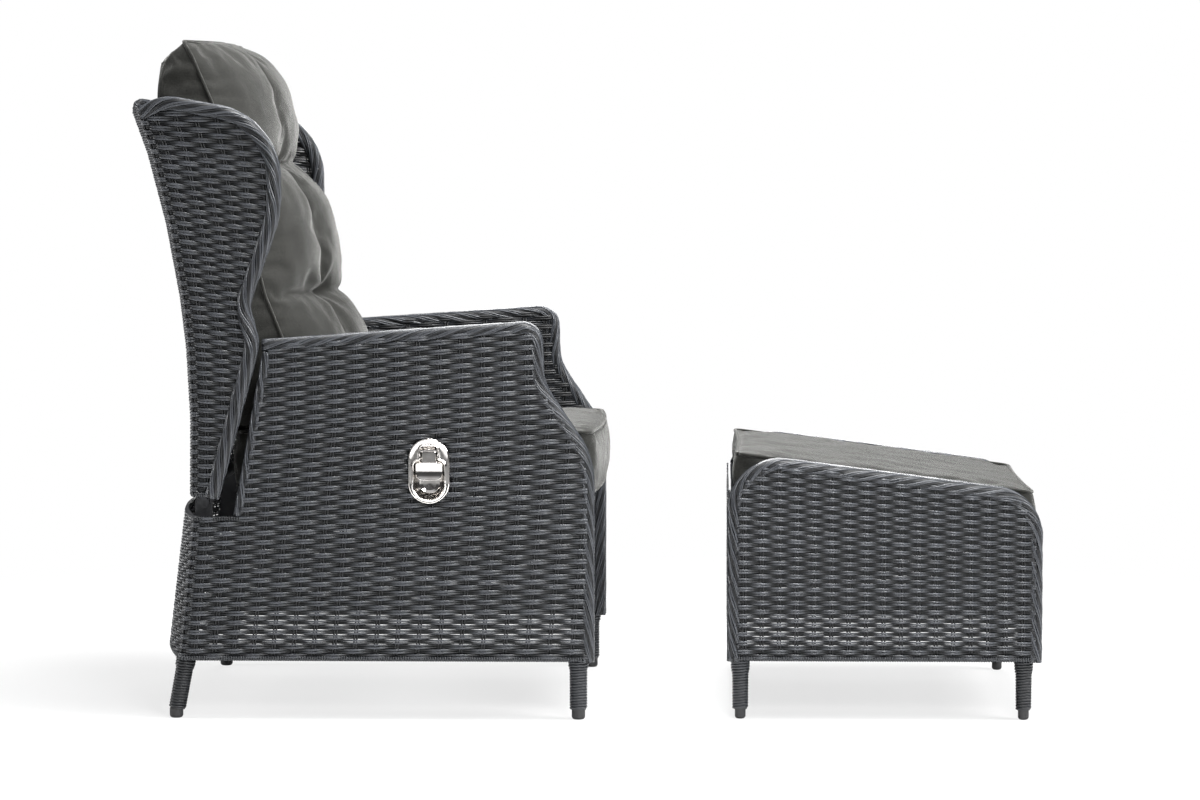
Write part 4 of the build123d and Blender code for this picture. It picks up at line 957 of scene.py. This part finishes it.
# %% Cushion cloth
def cloth_finish(name, map_name, dark, light, thread=0.0011):
    """A plain weave on the named map; thread is the width of two crossings in metres."""
    finish, tree, shader = new_finish(name, rough=0.88, specular=0.25)
    flat_map = tree.nodes.new("ShaderNodeUVMap")
    flat_map.uv_map = map_name
    place = flat_map.outputs["UV"]
    parts = tree.nodes.new("ShaderNodeSeparateXYZ")
    tree.links.new(place, parts.inputs["Vector"])
    waves = [maths(tree, "SINE", maths(tree, "MULTIPLY", parts.outputs[axis], 2 * pi / thread), 0.0)
             for axis in ("X", "Y")]
    crossing = maths(tree, "MULTIPLY", *waves)
    slubs = noise(tree, stretched(tree, place, (40, 900, 1)), 1.0, 3.0)
    cross_slubs = noise(tree, stretched(tree, place, (900, 40, 1)), 1.0, 3.0)
    cloud = noise(tree, stretched(tree, place, (9, 9, 1)), 1.0, 4.0)
    grain = noise(tree, stretched(tree, place, (300, 380, 1)), 1.0, 2.0)
    fibre = weighted(tree, (slubs, 0.5), (cross_slubs, 0.5))
    shade = weighted(tree, (fibre, 0.4), (cloud, 0.2), (grain, 0.35), (crossing, 0.06))
    tree.links.new(ramp(tree, shade, (0.36, dark), (0.62, light)), shader.inputs["Base Color"])
    shader.inputs["Sheen Weight"].default_value = 0.42
    shader.inputs["Sheen Roughness"].default_value = 0.3
    shader.inputs["Sheen Tint"].default_value = (0.95, 0.95, 0.92, 1)
    height = weighted(tree, (crossing, 1.0), (fibre, 2.0), (grain, 2.5))
    bump(tree, shader, height, 0.5, 0.00025)
    print(name, "nodes", len(tree.nodes))
    return finish


cushion_cloth = cloth_finish("olive_cloth", "cloth",
                             (0.0105, 0.0107, 0.0095), (0.0275, 0.0273, 0.0243))
piping_cloth = cloth_finish("olive_piping", "strand",
                            (0.0095, 0.0096, 0.0084), (0.025, 0.0248, 0.0218))

# %% [markdown]
# A boxed cushion starts as a cube, cut into a grid along its three axes. A shape function then
# carries the grid to its place: the cube's edges become the sewn seams. Cloth simulation blows
# it up a little, with the seams held, so the panels crown and pucker between them. The rise is
# held back softly, and one subdivision smooths the result.


# %% Cut and sewn shapes
def cut_cube(name, cells):
    """A cube from -1 to 1, cut into that number of cells along x, y and z."""
    bpy.ops.object.select_all(action="DESELECT")
    bpy.ops.mesh.primitive_cube_add(size=2)
    piece = bpy.context.object
    piece.name = piece.data.name = name
    bpy.ops.object.mode_set(mode="EDIT")
    bpy.ops.mesh.select_mode(type="EDGE")
    for axis, number in enumerate(cells):
        bpy.ops.mesh.select_all(action="DESELECT")
        work = bmesh.from_edit_mesh(piece.data)
        for edge in work.edges:
            run = (edge.verts[1].co - edge.verts[0].co).normalized()
            edge.select_set(abs(run[axis]) > 0.9)
        bmesh.update_edit_mesh(piece.data)
        bpy.ops.mesh.subdivide(number_cuts=number - 1)
    bpy.ops.object.mode_set(mode="OBJECT")
    return piece


def corners_of(mesh):
    points = np.empty(len(mesh.vertices) * 3, np.float32)
    mesh.vertices.foreach_get("co", points)
    return points.reshape(-1, 3).astype(float)


def move_corners(mesh, points):
    mesh.vertices.foreach_set("co", points.astype(np.float32).ravel())
    mesh.update()


def ripples(points, size, height, seed, waves=14):
    """Soft uneven relief: a sum of plane waves about size long."""
    chance = np.random.default_rng(seed)
    total = np.zeros(len(points))
    for _ in range(waves):
        direction = chance.normal(size=3)
        direction /= np.linalg.norm(direction)
        turns = points @ direction * (2 * pi / (size * chance.uniform(0.6, 1.6)))
        total += np.sin(turns + chance.uniform(0, 6.3))
    return height * total / np.sqrt(waves)


def lay_map(mesh, unit, points):
    """The cloth map: each panel is laid flat by its own two axes, in metres."""
    faces = np.empty(len(mesh.polygons) * 4, np.int32)
    mesh.polygons.foreach_get("vertices", faces)
    faces = faces.reshape(-1, 4)
    middle = unit[faces].mean(1)
    facing = np.abs(middle).argmax(1)
    pairs = np.array([(1, 2), (0, 2), (0, 1)])[facing]
    placed = points[faces] * MM
    chosen = np.take_along_axis(placed, np.repeat(pairs[:, None], 4, 1), 2)
    layer = mesh.uv_layers.new(name="cloth")
    layer.data.foreach_set("uv", chosen.astype(np.float32).ravel())


# %% [markdown]
# The simulation runs for twenty frames with the cushion's inside under pressure. The vertex
# group "seams" holds the sewn lines. How far each point rose is read off afterwards, and a
# soft limit brings the crown to the height that the photo shows.


# %% Cloth simulation
SIMULATED = 20


def blow_up(piece, start, fixed, rise, pressure, loose):
    """Swell the panels between the seams, at most by about rise millimetres."""
    seams = piece.vertex_groups.new(name="seams")
    seams.add([int(i) for i in np.flatnonzero(fixed)], 1.0, "REPLACE")
    cloth = piece.modifiers.new("cloth", "CLOTH")
    way = cloth.settings
    way.quality, way.mass = 5, 0.25
    way.tension_stiffness = way.compression_stiffness = 12
    way.shear_stiffness, way.bending_stiffness = 4, 0.15
    way.use_pressure, way.uniform_pressure_force = True, pressure
    way.shrink_min = way.shrink_max = -loose
    way.vertex_group_mass = "seams"
    way.effector_weights.gravity = 0
    cloth.collision_settings.use_collision = False
    cloth.point_cache.frame_start, cloth.point_cache.frame_end = 1, SIMULATED
    for frame_number in range(1, SIMULATED + 1):
        bpy.context.scene.frame_set(frame_number)
    bpy.context.view_layer.objects.active = piece
    bpy.ops.object.modifier_apply(modifier="cloth")
    bpy.context.scene.frame_set(1)
    piece.vertex_groups.clear()
    move = corners_of(piece.data) / MM - start
    size = np.linalg.norm(move, axis=1)
    move *= (rise * np.tanh(size / rise) / np.maximum(size, 1e-9))[:, None]
    move_corners(piece.data, (start + move) * MM)
    kept = np.linalg.norm(move, axis=1).max()
    print(piece.name, "rose", round(float(size.max()), 1), "mm, kept", round(float(kept), 1))


# %% [markdown]
# Every cushion takes the same way: cut the cube, carry it to its shape, give the panels a few
# soft ripples, swell them, and smooth the result.


# %% Cushion maker
def sewn_cushion(name, body, node, cells, shape, held, rise, pressure, loose, seed,
                 folds=0.9, fold_size=46):
    """shape takes the cube's points to millimetres; held says which points stay as sewn."""
    piece = cut_cube(name, cells)
    unit = corners_of(piece.data)
    start = shape(*unit.T)
    for layer in list(piece.data.uv_layers):
        piece.data.uv_layers.remove(layer)
    lay_map(piece.data, unit, start)
    fixed = held(*unit.T)
    move_corners(piece.data, start * MM)
    normals = np.empty(len(unit) * 3, np.float32)
    piece.data.vertices.foreach_get("normal", normals)
    relief = ripples(start, fold_size, folds, seed) * ~fixed
    uneven = start + normals.reshape(-1, 3).astype(float) * relief[:, None]
    move_corners(piece.data, uneven * MM)
    blow_up(piece, uneven, fixed, rise, pressure, loose)
    smooth = piece.modifiers.new("smooth", "SUBSURF")
    smooth.levels = smooth.render_levels = 1
    bpy.context.view_layer.objects.active = piece
    bpy.ops.object.modifier_apply(modifier="smooth")
    bpy.ops.object.shade_smooth()
    piece.data.materials.append(cushion_cloth)
    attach(piece, body)
    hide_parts(node)
    print(name, "faces", len(piece.data.polygons))


# %% [markdown]
# A piped seam is a cord sewn into cloth, a tube along the edge of a panel. Seat and footstool
# cushion share one plan, a rectangle with round corners whose sides draw in a little.


# %% Seams and plans
def piping(name, body, lines, radius=3.1):
    """Corded seams: each line is an array of points in millimetres."""
    cords = Strands()
    for line in lines:
        length = length_along(line)
        path = at_lengths(line, length, np.linspace(0, length[-1], int(length[-1] / CORD_STEP) + 1))
        outward = np.cross(np.gradient(path, axis=0), (0.3, 0.5, 0.81))
        cords.add(rope_rings(path, outward, radius, radius, CORD_SIDES) * MM, 0.4)
    cords.finish(name, piping_cloth, body, "cushion_fabric")


def around_panel(shape, axis, end):
    """The seam round one panel of a cushion: the edge of the cube's face at that end."""
    square = np.insert(around_square, axis, end, axis=1)
    return shape(*square.T)


def plan_square(u, v, half_x, half_y, radius, draw):
    """A square carried to a rectangle with round corners, whose sides pull in between them."""
    t = np.maximum(np.maximum(np.abs(u), np.abs(v)), 1e-6)
    x, y = np.abs(u) / t * half_x, np.abs(v) / t * half_y
    dx, dy = x - (half_x - radius), y - (half_y - radius)
    corner = (dx > 0) & (dy > 0)
    reach = np.where(corner, radius / np.maximum(np.hypot(dx, dy), 1e-6), 1)
    x = np.where(corner, half_x - radius + dx * reach, x)
    y = np.where(corner, half_y - radius + dy * reach, y)
    on_x = np.abs(u) >= np.abs(v)
    x = x - np.where(on_x, draw * (1 - (y / half_y) ** 2), 0)
    y = y - np.where(on_x, 0, draw * (1 - (x / half_x) ** 2))
    return x * t * np.sign(u), y * t * np.sign(v)


CORD_STEP, CORD_SIDES, CORD_LIFT = 5, 10, 3.2
edge, ends = np.linspace(-1, 1, 90), np.ones(90)
around_square = np.concatenate([np.stack(pair, -1) for pair in (
    (edge, -ends), (ends, edge), (edge[::-1], ends), (-ends, edge[::-1]))])

# %% [markdown]
# The seat cushion is a deep box. Its front edge bows out between the arms, and the front and
# side strips swell between the two piped seams. Underneath it is flat, where it rests.

# %% Seat cushion
SEAT_X, SEAT_Y, SEAT_LOW, SEAT_SEAM = (-565.0, 27.0), 280.0, 372.0, 464.0


def seat_shape(u, v, w):
    half = (SEAT_X[1] - SEAT_X[0]) / 2
    t = np.maximum(np.abs(u), np.abs(v))
    x, y = plan_square(u, v, half - 5, SEAT_Y - 4, 26, 6)
    swell = 1 + 0.017 * (1 - w**2) * (t > 0.999)
    x, y = x * swell, y * swell
    front = np.clip((u + 1) / 2, 0, 1)
    x = x + SEAT_X[0] + half + 19 * (1 - v**2) * front**3
    crown = 4 * (1 - np.abs(u) ** 3) * (1 - np.abs(v) ** 3)
    low = SEAT_LOW - 10 * np.clip((x + 6) / 24, 0, 1) ** 2
    z = low + (w + 1) / 2 * (SEAT_SEAM - low + crown)
    return np.stack([x, y, z], -1)


def seat_held(u, v, w):
    edge = np.maximum(np.abs(u), np.abs(v)) > 0.999
    return (w < -0.999) | (edge & (w > 0.999))


sewn_cushion("seat_cushion_cloth", "seat_cushion", "seat_cushion", (80, 76, 13), seat_shape,
             seat_held, rise=7, pressure=2.5, loose=0.02, seed=101)
low_seam, top_seam = (around_panel(seat_shape, 2, end) for end in (-1.0, 1.0))
piping("seat_cushion_piping", "seat_cushion", [low_seam + (0, 0, CORD_LIFT), top_seam])

# %% [markdown]
# The back cushion is one long box bent to the sitter's back. Its front is a table of heights:
# how far forward the middle channel, the two channel seams and the side seams stand. Two
# level creases divide it into head, back and loins, and tufts pull in where they cross.

# %% Shape of the back cushion
BACK_TABLE = np.array([
    (474, -372, -392, -442, -612), (530, -356, -380, -448, -612), (630, -378, -402, -486, -612),
    (688, -415, -440, -509, -617), (760, -417, -438, -527, -627), (840, -440, -460, -535, -640),
    (905, -494, -506, -562, -655), (965, -491, -505, -578, -670), (1030, -508, -520, -606, -684),
    (1078, -540, -550, -626, -684), (1100, -592, -598, -640, -678)], float)
BACK_HALF = 275.0
REAR_PANEL_LOW, REAR_PANEL_HIGH = 476, 1066
CHANNEL = 1 / 3
CREASES = {904.0: 15.0, 687.0: 17.0}
TUFTS = ((687, 4.6, 0.6), (904, 2.6, 2.2))
HEAD_FROM = 800
crest_run = length_along(BACK_TABLE[:, :2])
fine = np.linspace(0, 1, 400)
table_fine = at_lengths(BACK_TABLE, crest_run / crest_run[-1], fine)
weights = np.hanning(23)
weights /= weights.sum()
for column in range(5):
    padded = np.pad(table_fine[:, column], 11, mode="reflect", reflect_type="odd")
    table_fine[:, column] = np.convolve(padded, weights, mode="valid")


def near(value, middle, width):
    return np.exp(-(((value - middle) / width) ** 2))


def back_shape(u, v, w):
    share = (w + 1) / 2
    z_front, crest, channel, side_seam, rear = (
        np.interp(share, fine, column) for column in table_fine.T)
    across = np.abs(v)
    inner = np.clip(1 - (across / CHANNEL) ** 2, 0, 1) ** 0.8
    q = np.clip((across - CHANNEL) / (1 - CHANNEL), 0, 1)
    front = np.where(across < CHANNEL, channel + (crest - channel) * inner - 2,
                     channel + (side_seam - channel) * q**1.25 + 13 * (4 * q * (1 - q)) ** 0.8 - 2)
    for height, depth in CREASES.items():
        tuft = 0.45 + 0.55 * near(across, CHANNEL, 0.13) * (1 if height < HEAD_FROM else 0.6)
        fade = np.clip((1.02 - across) / 0.25, 0, 1)
        front = front - depth * tuft * near(z_front, height, 9) * fade
    for side in (-1, 1):
        for height, depth, turn in TUFTS:
            away, up = (v - side * CHANNEL) * BACK_HALF, z_front - height
            reach, angle = np.hypot(away, up) / 24, np.arctan2(up, away * side)
            rays = reach * np.exp(1 - reach) * np.cos(5 * angle + turn + 0.4 * side)
            front = front - depth * rays * np.clip((1 - across) / 0.15, 0, 1)
    pucker = np.exp(-(1 - across) * BACK_HALF / 20) * (across < 0.999)
    front = front + 1.5 * pucker * np.sin(z_front * 2 * pi / 27 + 2 * np.sin(z_front / 31))
    z_rear = REAR_PANEL_LOW + share * (REAR_PANEL_HIGH - REAR_PANEL_LOW)
    bow = 0.72 * bow_at(z_rear)
    back = rear + 3 - bow * (1 - v**2)
    forward = (u + 1) / 2
    x = back + (front - back) * forward
    z = z_rear + (z_front - z_rear) * forward
    z = z + 7 * (1 - u**2) * (1 - v**4) * np.where(w > 0.999, 1, 0)
    draw = 5 * (1 - w**2) - 3.5 * (1 - u**2) * (across > 0.999)
    draw = draw + 14 * np.clip((share - 0.93) / 0.07, 0, 1) ** 2
    return np.stack([x, v * (BACK_HALF - draw), z], -1)


print("front seam's length over the crest", round(crest_run[-1]), "mm")

# %% [markdown]
# The seams all round stay as sewn, and so do the channels above the loins and the creases.


# %% Back cushion
def back_held(u, v, w):
    across = np.abs(v)
    z_front = np.interp((w + 1) / 2, fine, table_fine[:, 0])
    seam = (across > 0.999) | (np.abs(w) > 0.999)
    channel = (np.abs(across - CHANNEL) < 0.006) & (z_front > 690)
    crease = np.zeros(len(u), bool)
    for height in CREASES:
        sewn_width = 0.9 if height > HEAD_FROM else 0.62
        crease |= (np.abs(z_front - height) < 4.2) & (across < sewn_width)
    return (u < -0.999) | ((u > 0.999) & (seam | channel | crease))


sewn_cushion("back_cushion_cloth", "backrest", "back_cushion", (17, 81, 90), back_shape,
             back_held, rise=13, pressure=3.5, loose=0.035, seed=111)
rear_seam, front_seam = (around_panel(back_shape, 0, end) for end in (-1.0, 1.0))
piping("back_cushion_piping", "backrest", [rear_seam + (CORD_LIFT, 0, 0), front_seam])

# %% [markdown]
# The footstool's cushion is a thin box that lies on the sloping deck. Its cloth is a size too
# large, so the top lies in soft uneven folds.

# %% Footstool cushion
STOOL_CUSHION_X, STOOL_CUSHION_Y = (255.0, 745.0), 276.0
STOOL_CUSHION_LOW, STOOL_THICK = 65, 60.0


def stool_shape(u, v, w):
    half = (STOOL_CUSHION_X[1] - STOOL_CUSHION_X[0]) / 2
    x, y = plan_square(u, v, half - 3, STOOL_CUSHION_Y - 3, 20, 5)
    edge = np.maximum(np.abs(u), np.abs(v)) > 0.999
    swell = 1 + 0.012 * (1 - w**2) * edge
    x, y = x * swell + STOOL_CUSHION_X[0] + half, y * swell
    crown = 4 * (1 - np.abs(u) ** 3) * (1 - np.abs(v) ** 3)
    z = stool_top(x) - STOOL_CUSHION_LOW + (w + 1) / 2 * (STOOL_THICK + crown)
    return np.stack([x, y, z], -1)


sewn_cushion("stool_cushion_cloth", "stool_cushion", "stool_cushion", (60, 68, 8), stool_shape,
             seat_held, rise=5, pressure=2.0, loose=0.03, seed=121, folds=1.9,
             fold_size=80)
low_seam, top_seam = (around_panel(stool_shape, 2, end) for end in (-1.0, 1.0))
piping("stool_cushion_piping", "stool_cushion", [low_seam + (0, 0, CORD_LIFT), top_seam],
       radius=2.8)

# %% [markdown]
# The lever sits in a chrome plate on the sitter's right. The plate is a grid carried to an
# upright oval. Every point's depth follows from two distances: to the rim, and to the edge of
# the keyhole pocket with its raised bead. Fingers leave faint smudges on the chrome.


# %% Lever finish
def object_place(tree):
    return tree.nodes.new("ShaderNodeTexCoord").outputs["Object"]


chrome, tree, shader = new_finish("lever_chrome", metal=1.0)
place = object_place(tree)
smudge = noise(tree, place, 90.0, 4.0)
wipe = noise(tree, stretched(tree, place, (900, 900, 60)), 1.0, 2.0)
silver = ramp(tree, smudge, (0.3, (0.72, 0.69, 0.66)), (0.7, (0.84, 0.82, 0.8)))
tree.links.new(silver, shader.inputs["Base Color"])
tree.links.new(weighted(tree, (smudge, 0.1), (wipe, 0.04)), shader.inputs["Roughness"])
bump(tree, shader, smudge, 0.05, 0.0002)
print(chrome.name, "nodes", len(tree.nodes))


# %% [markdown]
# Both chrome pieces start from an outline that is the same on its right and left. How deep a
# point lies inside such an outline is its distance to the nearest of the outline's edges.


# %% Lever helpers
def mirrored(half):
    """A closed outline from its right half, which runs from the bottom to the top."""
    return np.concatenate([half, half[::-1] * (-1, 1)])


def depth_in(outline, points):
    """Distance to a closed outline: positive inside it, negative outside."""
    starts, ends = outline, np.roll(outline, -1, axis=0)
    run = ends - starts
    square = np.maximum((run**2).sum(1), 1e-9)
    share = np.clip(((points[:, None] - starts) * run).sum(2) / square, 0, 1)
    away = np.linalg.norm(points[:, None] - starts - share[..., None] * run, axis=2).min(1)
    return np.where(inside(outline, points[:, 0], points[:, 1]), away, -away)


def chrome_piece(piece, body, node):
    piece.data.materials.append(chrome)
    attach(piece, body)
    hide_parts(node)
    print(piece.name, "faces", len(piece.data.polygons))


# %% [markdown]
# RIM gives the plate's distance from the chair's middle by the distance to its rim, POCKET how
# much the pocket adds or takes away by the distance to the keyhole's edge, all in millimetres.

# %% Lever plate
PLATE_WIDE, PLATE_HIGH = 34.5, 54.0
RIM = [(0, 336.6), (0.3, 340.0), (0.9, 342.3), (1.8, 343.6), (2.8, 344.0), (4.2, 343.6),
       (6, 342.7), (9, 342.4)]
POCKET = [(-4, 0), (-3.2, 0.1), (-2.4, 1.2), (-1.5, 2.4), (-0.7, 2.2), (0, 1.0), (0.8, -2.0),
          (1.6, -6.5), (2.8, -11.5), (5, -16), (9, -19.3), (14, -20.8), (26, -21.3)]
keyhole = mirrored(rounded([(0, -46), (25, -46), (25, 17), (13.8, 17), (13.8, 40), (0, 40)],
                           (24, 9, 3, 4), 1.2))
bpy.ops.object.select_all(action="DESELECT")
bpy.ops.mesh.primitive_grid_add(x_subdivisions=94, y_subdivisions=144, size=2)
plate = bpy.context.object
plate.name = plate.data.name = "lever_plate"
grid = corners_of(plate.data)
flat_x, flat_z = plan_square(*grid[:, :2].T, PLATE_WIDE, PLATE_HIGH, PLATE_WIDE - 0.05, 0)
spots = np.stack([flat_x, flat_z], -1)
straight = np.clip(flat_z, PLATE_WIDE - PLATE_HIGH, PLATE_HIGH - PLATE_WIDE)
to_rim = PLATE_WIDE - np.hypot(flat_x, flat_z - straight)
out = np.interp(to_rim, *zip(*RIM)) + np.interp(depth_in(keyhole, spots), *zip(*POCKET))
move_corners(plate.data, np.stack([HANDLE[0] + flat_x, -out, HANDLE[1] + flat_z], -1) * MM)
solid = plate.modifiers.new("wall", "SOLIDIFY")
solid.thickness, solid.offset = 0.0007, -1
bpy.ops.object.modifier_apply(modifier="wall")
bpy.ops.object.shade_smooth()
chrome_piece(plate, "base", "handle_plate")

# %% [markdown]
# The paddle is an outline, filled and drawn out to its thickness. A voxel remesh gives it even
# faces, smoothing rounds its edges, and its face is hollowed for two fingers.

# %% Lever paddle
PADDLE_Z, PADDLE_BACK, PADDLE_THICK = 409.5, 337.6, 3.6
HOLLOW_TOP, HOLLOW_HIGH, HOLLOW_DEEP = 9.5, 28, 2.6
paddle_outline = mirrored(rounded([(0, -18.5), (21.5, -18.5), (21.5, 9.5), (11.3, 9.5),
                                   (11.3, 29), (0, 29)], (11, 3, 2.5, 3), 0.9))
bpy.ops.object.select_all(action="DESELECT")
bpy.ops.mesh.primitive_circle_add(vertices=len(paddle_outline), fill_type="NGON")
paddle = bpy.context.object
paddle.name = paddle.data.name = "lever_paddle"
placed = np.insert(paddle_outline + (HANDLE[0], PADDLE_Z), 1, -PADDLE_BACK, axis=1)
move_corners(paddle.data, placed * MM)
bpy.ops.object.mode_set(mode="EDIT")
bpy.ops.mesh.select_all(action="SELECT")
bpy.ops.mesh.extrude_region_move(TRANSFORM_OT_translate={"value": (0, -PADDLE_THICK * MM, 0)})
bpy.ops.mesh.select_all(action="SELECT")
bpy.ops.mesh.normals_make_consistent(inside=False)
bpy.ops.object.mode_set(mode="OBJECT")
even = paddle.modifiers.new("even", "REMESH")
even.mode, even.voxel_size = "VOXEL", 0.0006
bpy.ops.object.modifier_apply(modifier="even")
soft = paddle.modifiers.new("soft", "SMOOTH")
soft.factor, soft.iterations = 0.5, 6
bpy.ops.object.modifier_apply(modifier="soft")
skin = corners_of(paddle.data)
dip = np.clip((PADDLE_Z + HOLLOW_TOP - skin[:, 2] / MM) / HOLLOW_HIGH, 0, 1)
skin[:, 1] += HOLLOW_DEEP * MM * np.sin(dip * pi) * (skin[:, 1] / MM < -PADDLE_BACK - 1)
move_corners(paddle.data, skin)
bpy.ops.object.shade_smooth()
chrome_piece(paddle, "paddle", "handle_paddle")

# %% [markdown]
# What is left of the CAD model shows in small places: tubes behind the weave, glides, hinge
# plates, the gas spring and its cable. These bodies keep their shape and only get a finish.
# Paint has a fine orange peel, turned steel has rings, the cable's sheath has ribs.


# %% Finishes of the frame parts
def hard_finish(name, dark, light, rough, metal, scale, relief, stretch=(1, 1, 1)):
    finish, tree, shader = new_finish(name, metal=metal)
    place = stretched(tree, object_place(tree), stretch)
    grain = noise(tree, place, scale, 5.0)
    wear = noise(tree, place, scale / 14, 3.0)
    both = weighted(tree, (grain, 0.5), (wear, 0.5))
    tree.links.new(ramp(tree, both, (0.3, dark), (0.7, light)), shader.inputs["Base Color"])
    uneven = maths(tree, "ADD", maths(tree, "MULTIPLY", wear, 0.2), rough - 0.1)
    tree.links.new(uneven, shader.inputs["Roughness"])
    bump(tree, shader, grain, 0.3, relief)
    return finish


paint = hard_finish("anthracite_paint", (0.012, 0.013, 0.015), (0.03, 0.032, 0.036),
                    0.42, 0.0, 1400, 0.0001)
zinc = hard_finish("black_zinc", (0.03, 0.031, 0.033), (0.075, 0.076, 0.08),
                   0.45, 0.7, 900, 0.0001)
turned = hard_finish("turned_steel", (0.2, 0.2, 0.205), (0.4, 0.4, 0.41),
                     0.3, 1.0, 260, 0.00005, (1, 14, 1))
enamel = hard_finish("black_enamel", (0.008, 0.008, 0.009), (0.018, 0.018, 0.02),
                     0.25, 0.0, 700, 0.00005)
nylon = hard_finish("natural_nylon", (0.42, 0.4, 0.35), (0.56, 0.54, 0.48),
                    0.5, 0.0, 500, 0.00005)
rubber = hard_finish("ribbed_rubber", (0.01, 0.01, 0.01), (0.022, 0.022, 0.023),
                     0.6, 0.0, 420, 0.0003, (6, 1, 1))
moulded = hard_finish("moulded_black", (0.01, 0.01, 0.011), (0.024, 0.024, 0.025),
                      0.55, 0.0, 1100, 0.00012)
print("finishes", [finish.name for finish in bpy.data.materials])

# %% [markdown]
# Each of the CAD bodies that stay in the scene gets one of these finishes in place of the plain
# one that it was loaded with.

# %% Finished frame parts
finished_parts = [
    (paint, ["arm_post_tubes", "arm_rail_tubes", "cross_rails", "front_leg_tubes",
             "lower_rail_tubes", "rear_leg_tubes", "seat_side_rails", "hinge_stubs",
             "back_uprights", "back_top_tube", "back_bottom_tube", "stool_cross_rails",
             "stool_leg_tubes", "stool_side_rails"]),
    (zinc, ["hinge_plates", "hinge_bolts", "back_hinge_lugs", "spring_front_bracket",
            "spring_rear_arm"]),
    (turned, ["handle_pin", "spring_front_pin", "spring_rear_pin", "handle_spring",
              "gas_spring_rod"]),
    (enamel, ["gas_spring_tube", "release_head"]),
    (nylon, ["hinge_bushes"]),
    (rubber, ["release_cable"]),
    (moulded, ["chair_glides", "stool_glides"]),
]
for finish, names in finished_parts:
    for name in names:
        part = bpy.data.objects[name]
        part.data.materials.clear()
        part.data.materials.append(finish)
print("finished", sum(len(names) for _, names in finished_parts), "CAD parts")
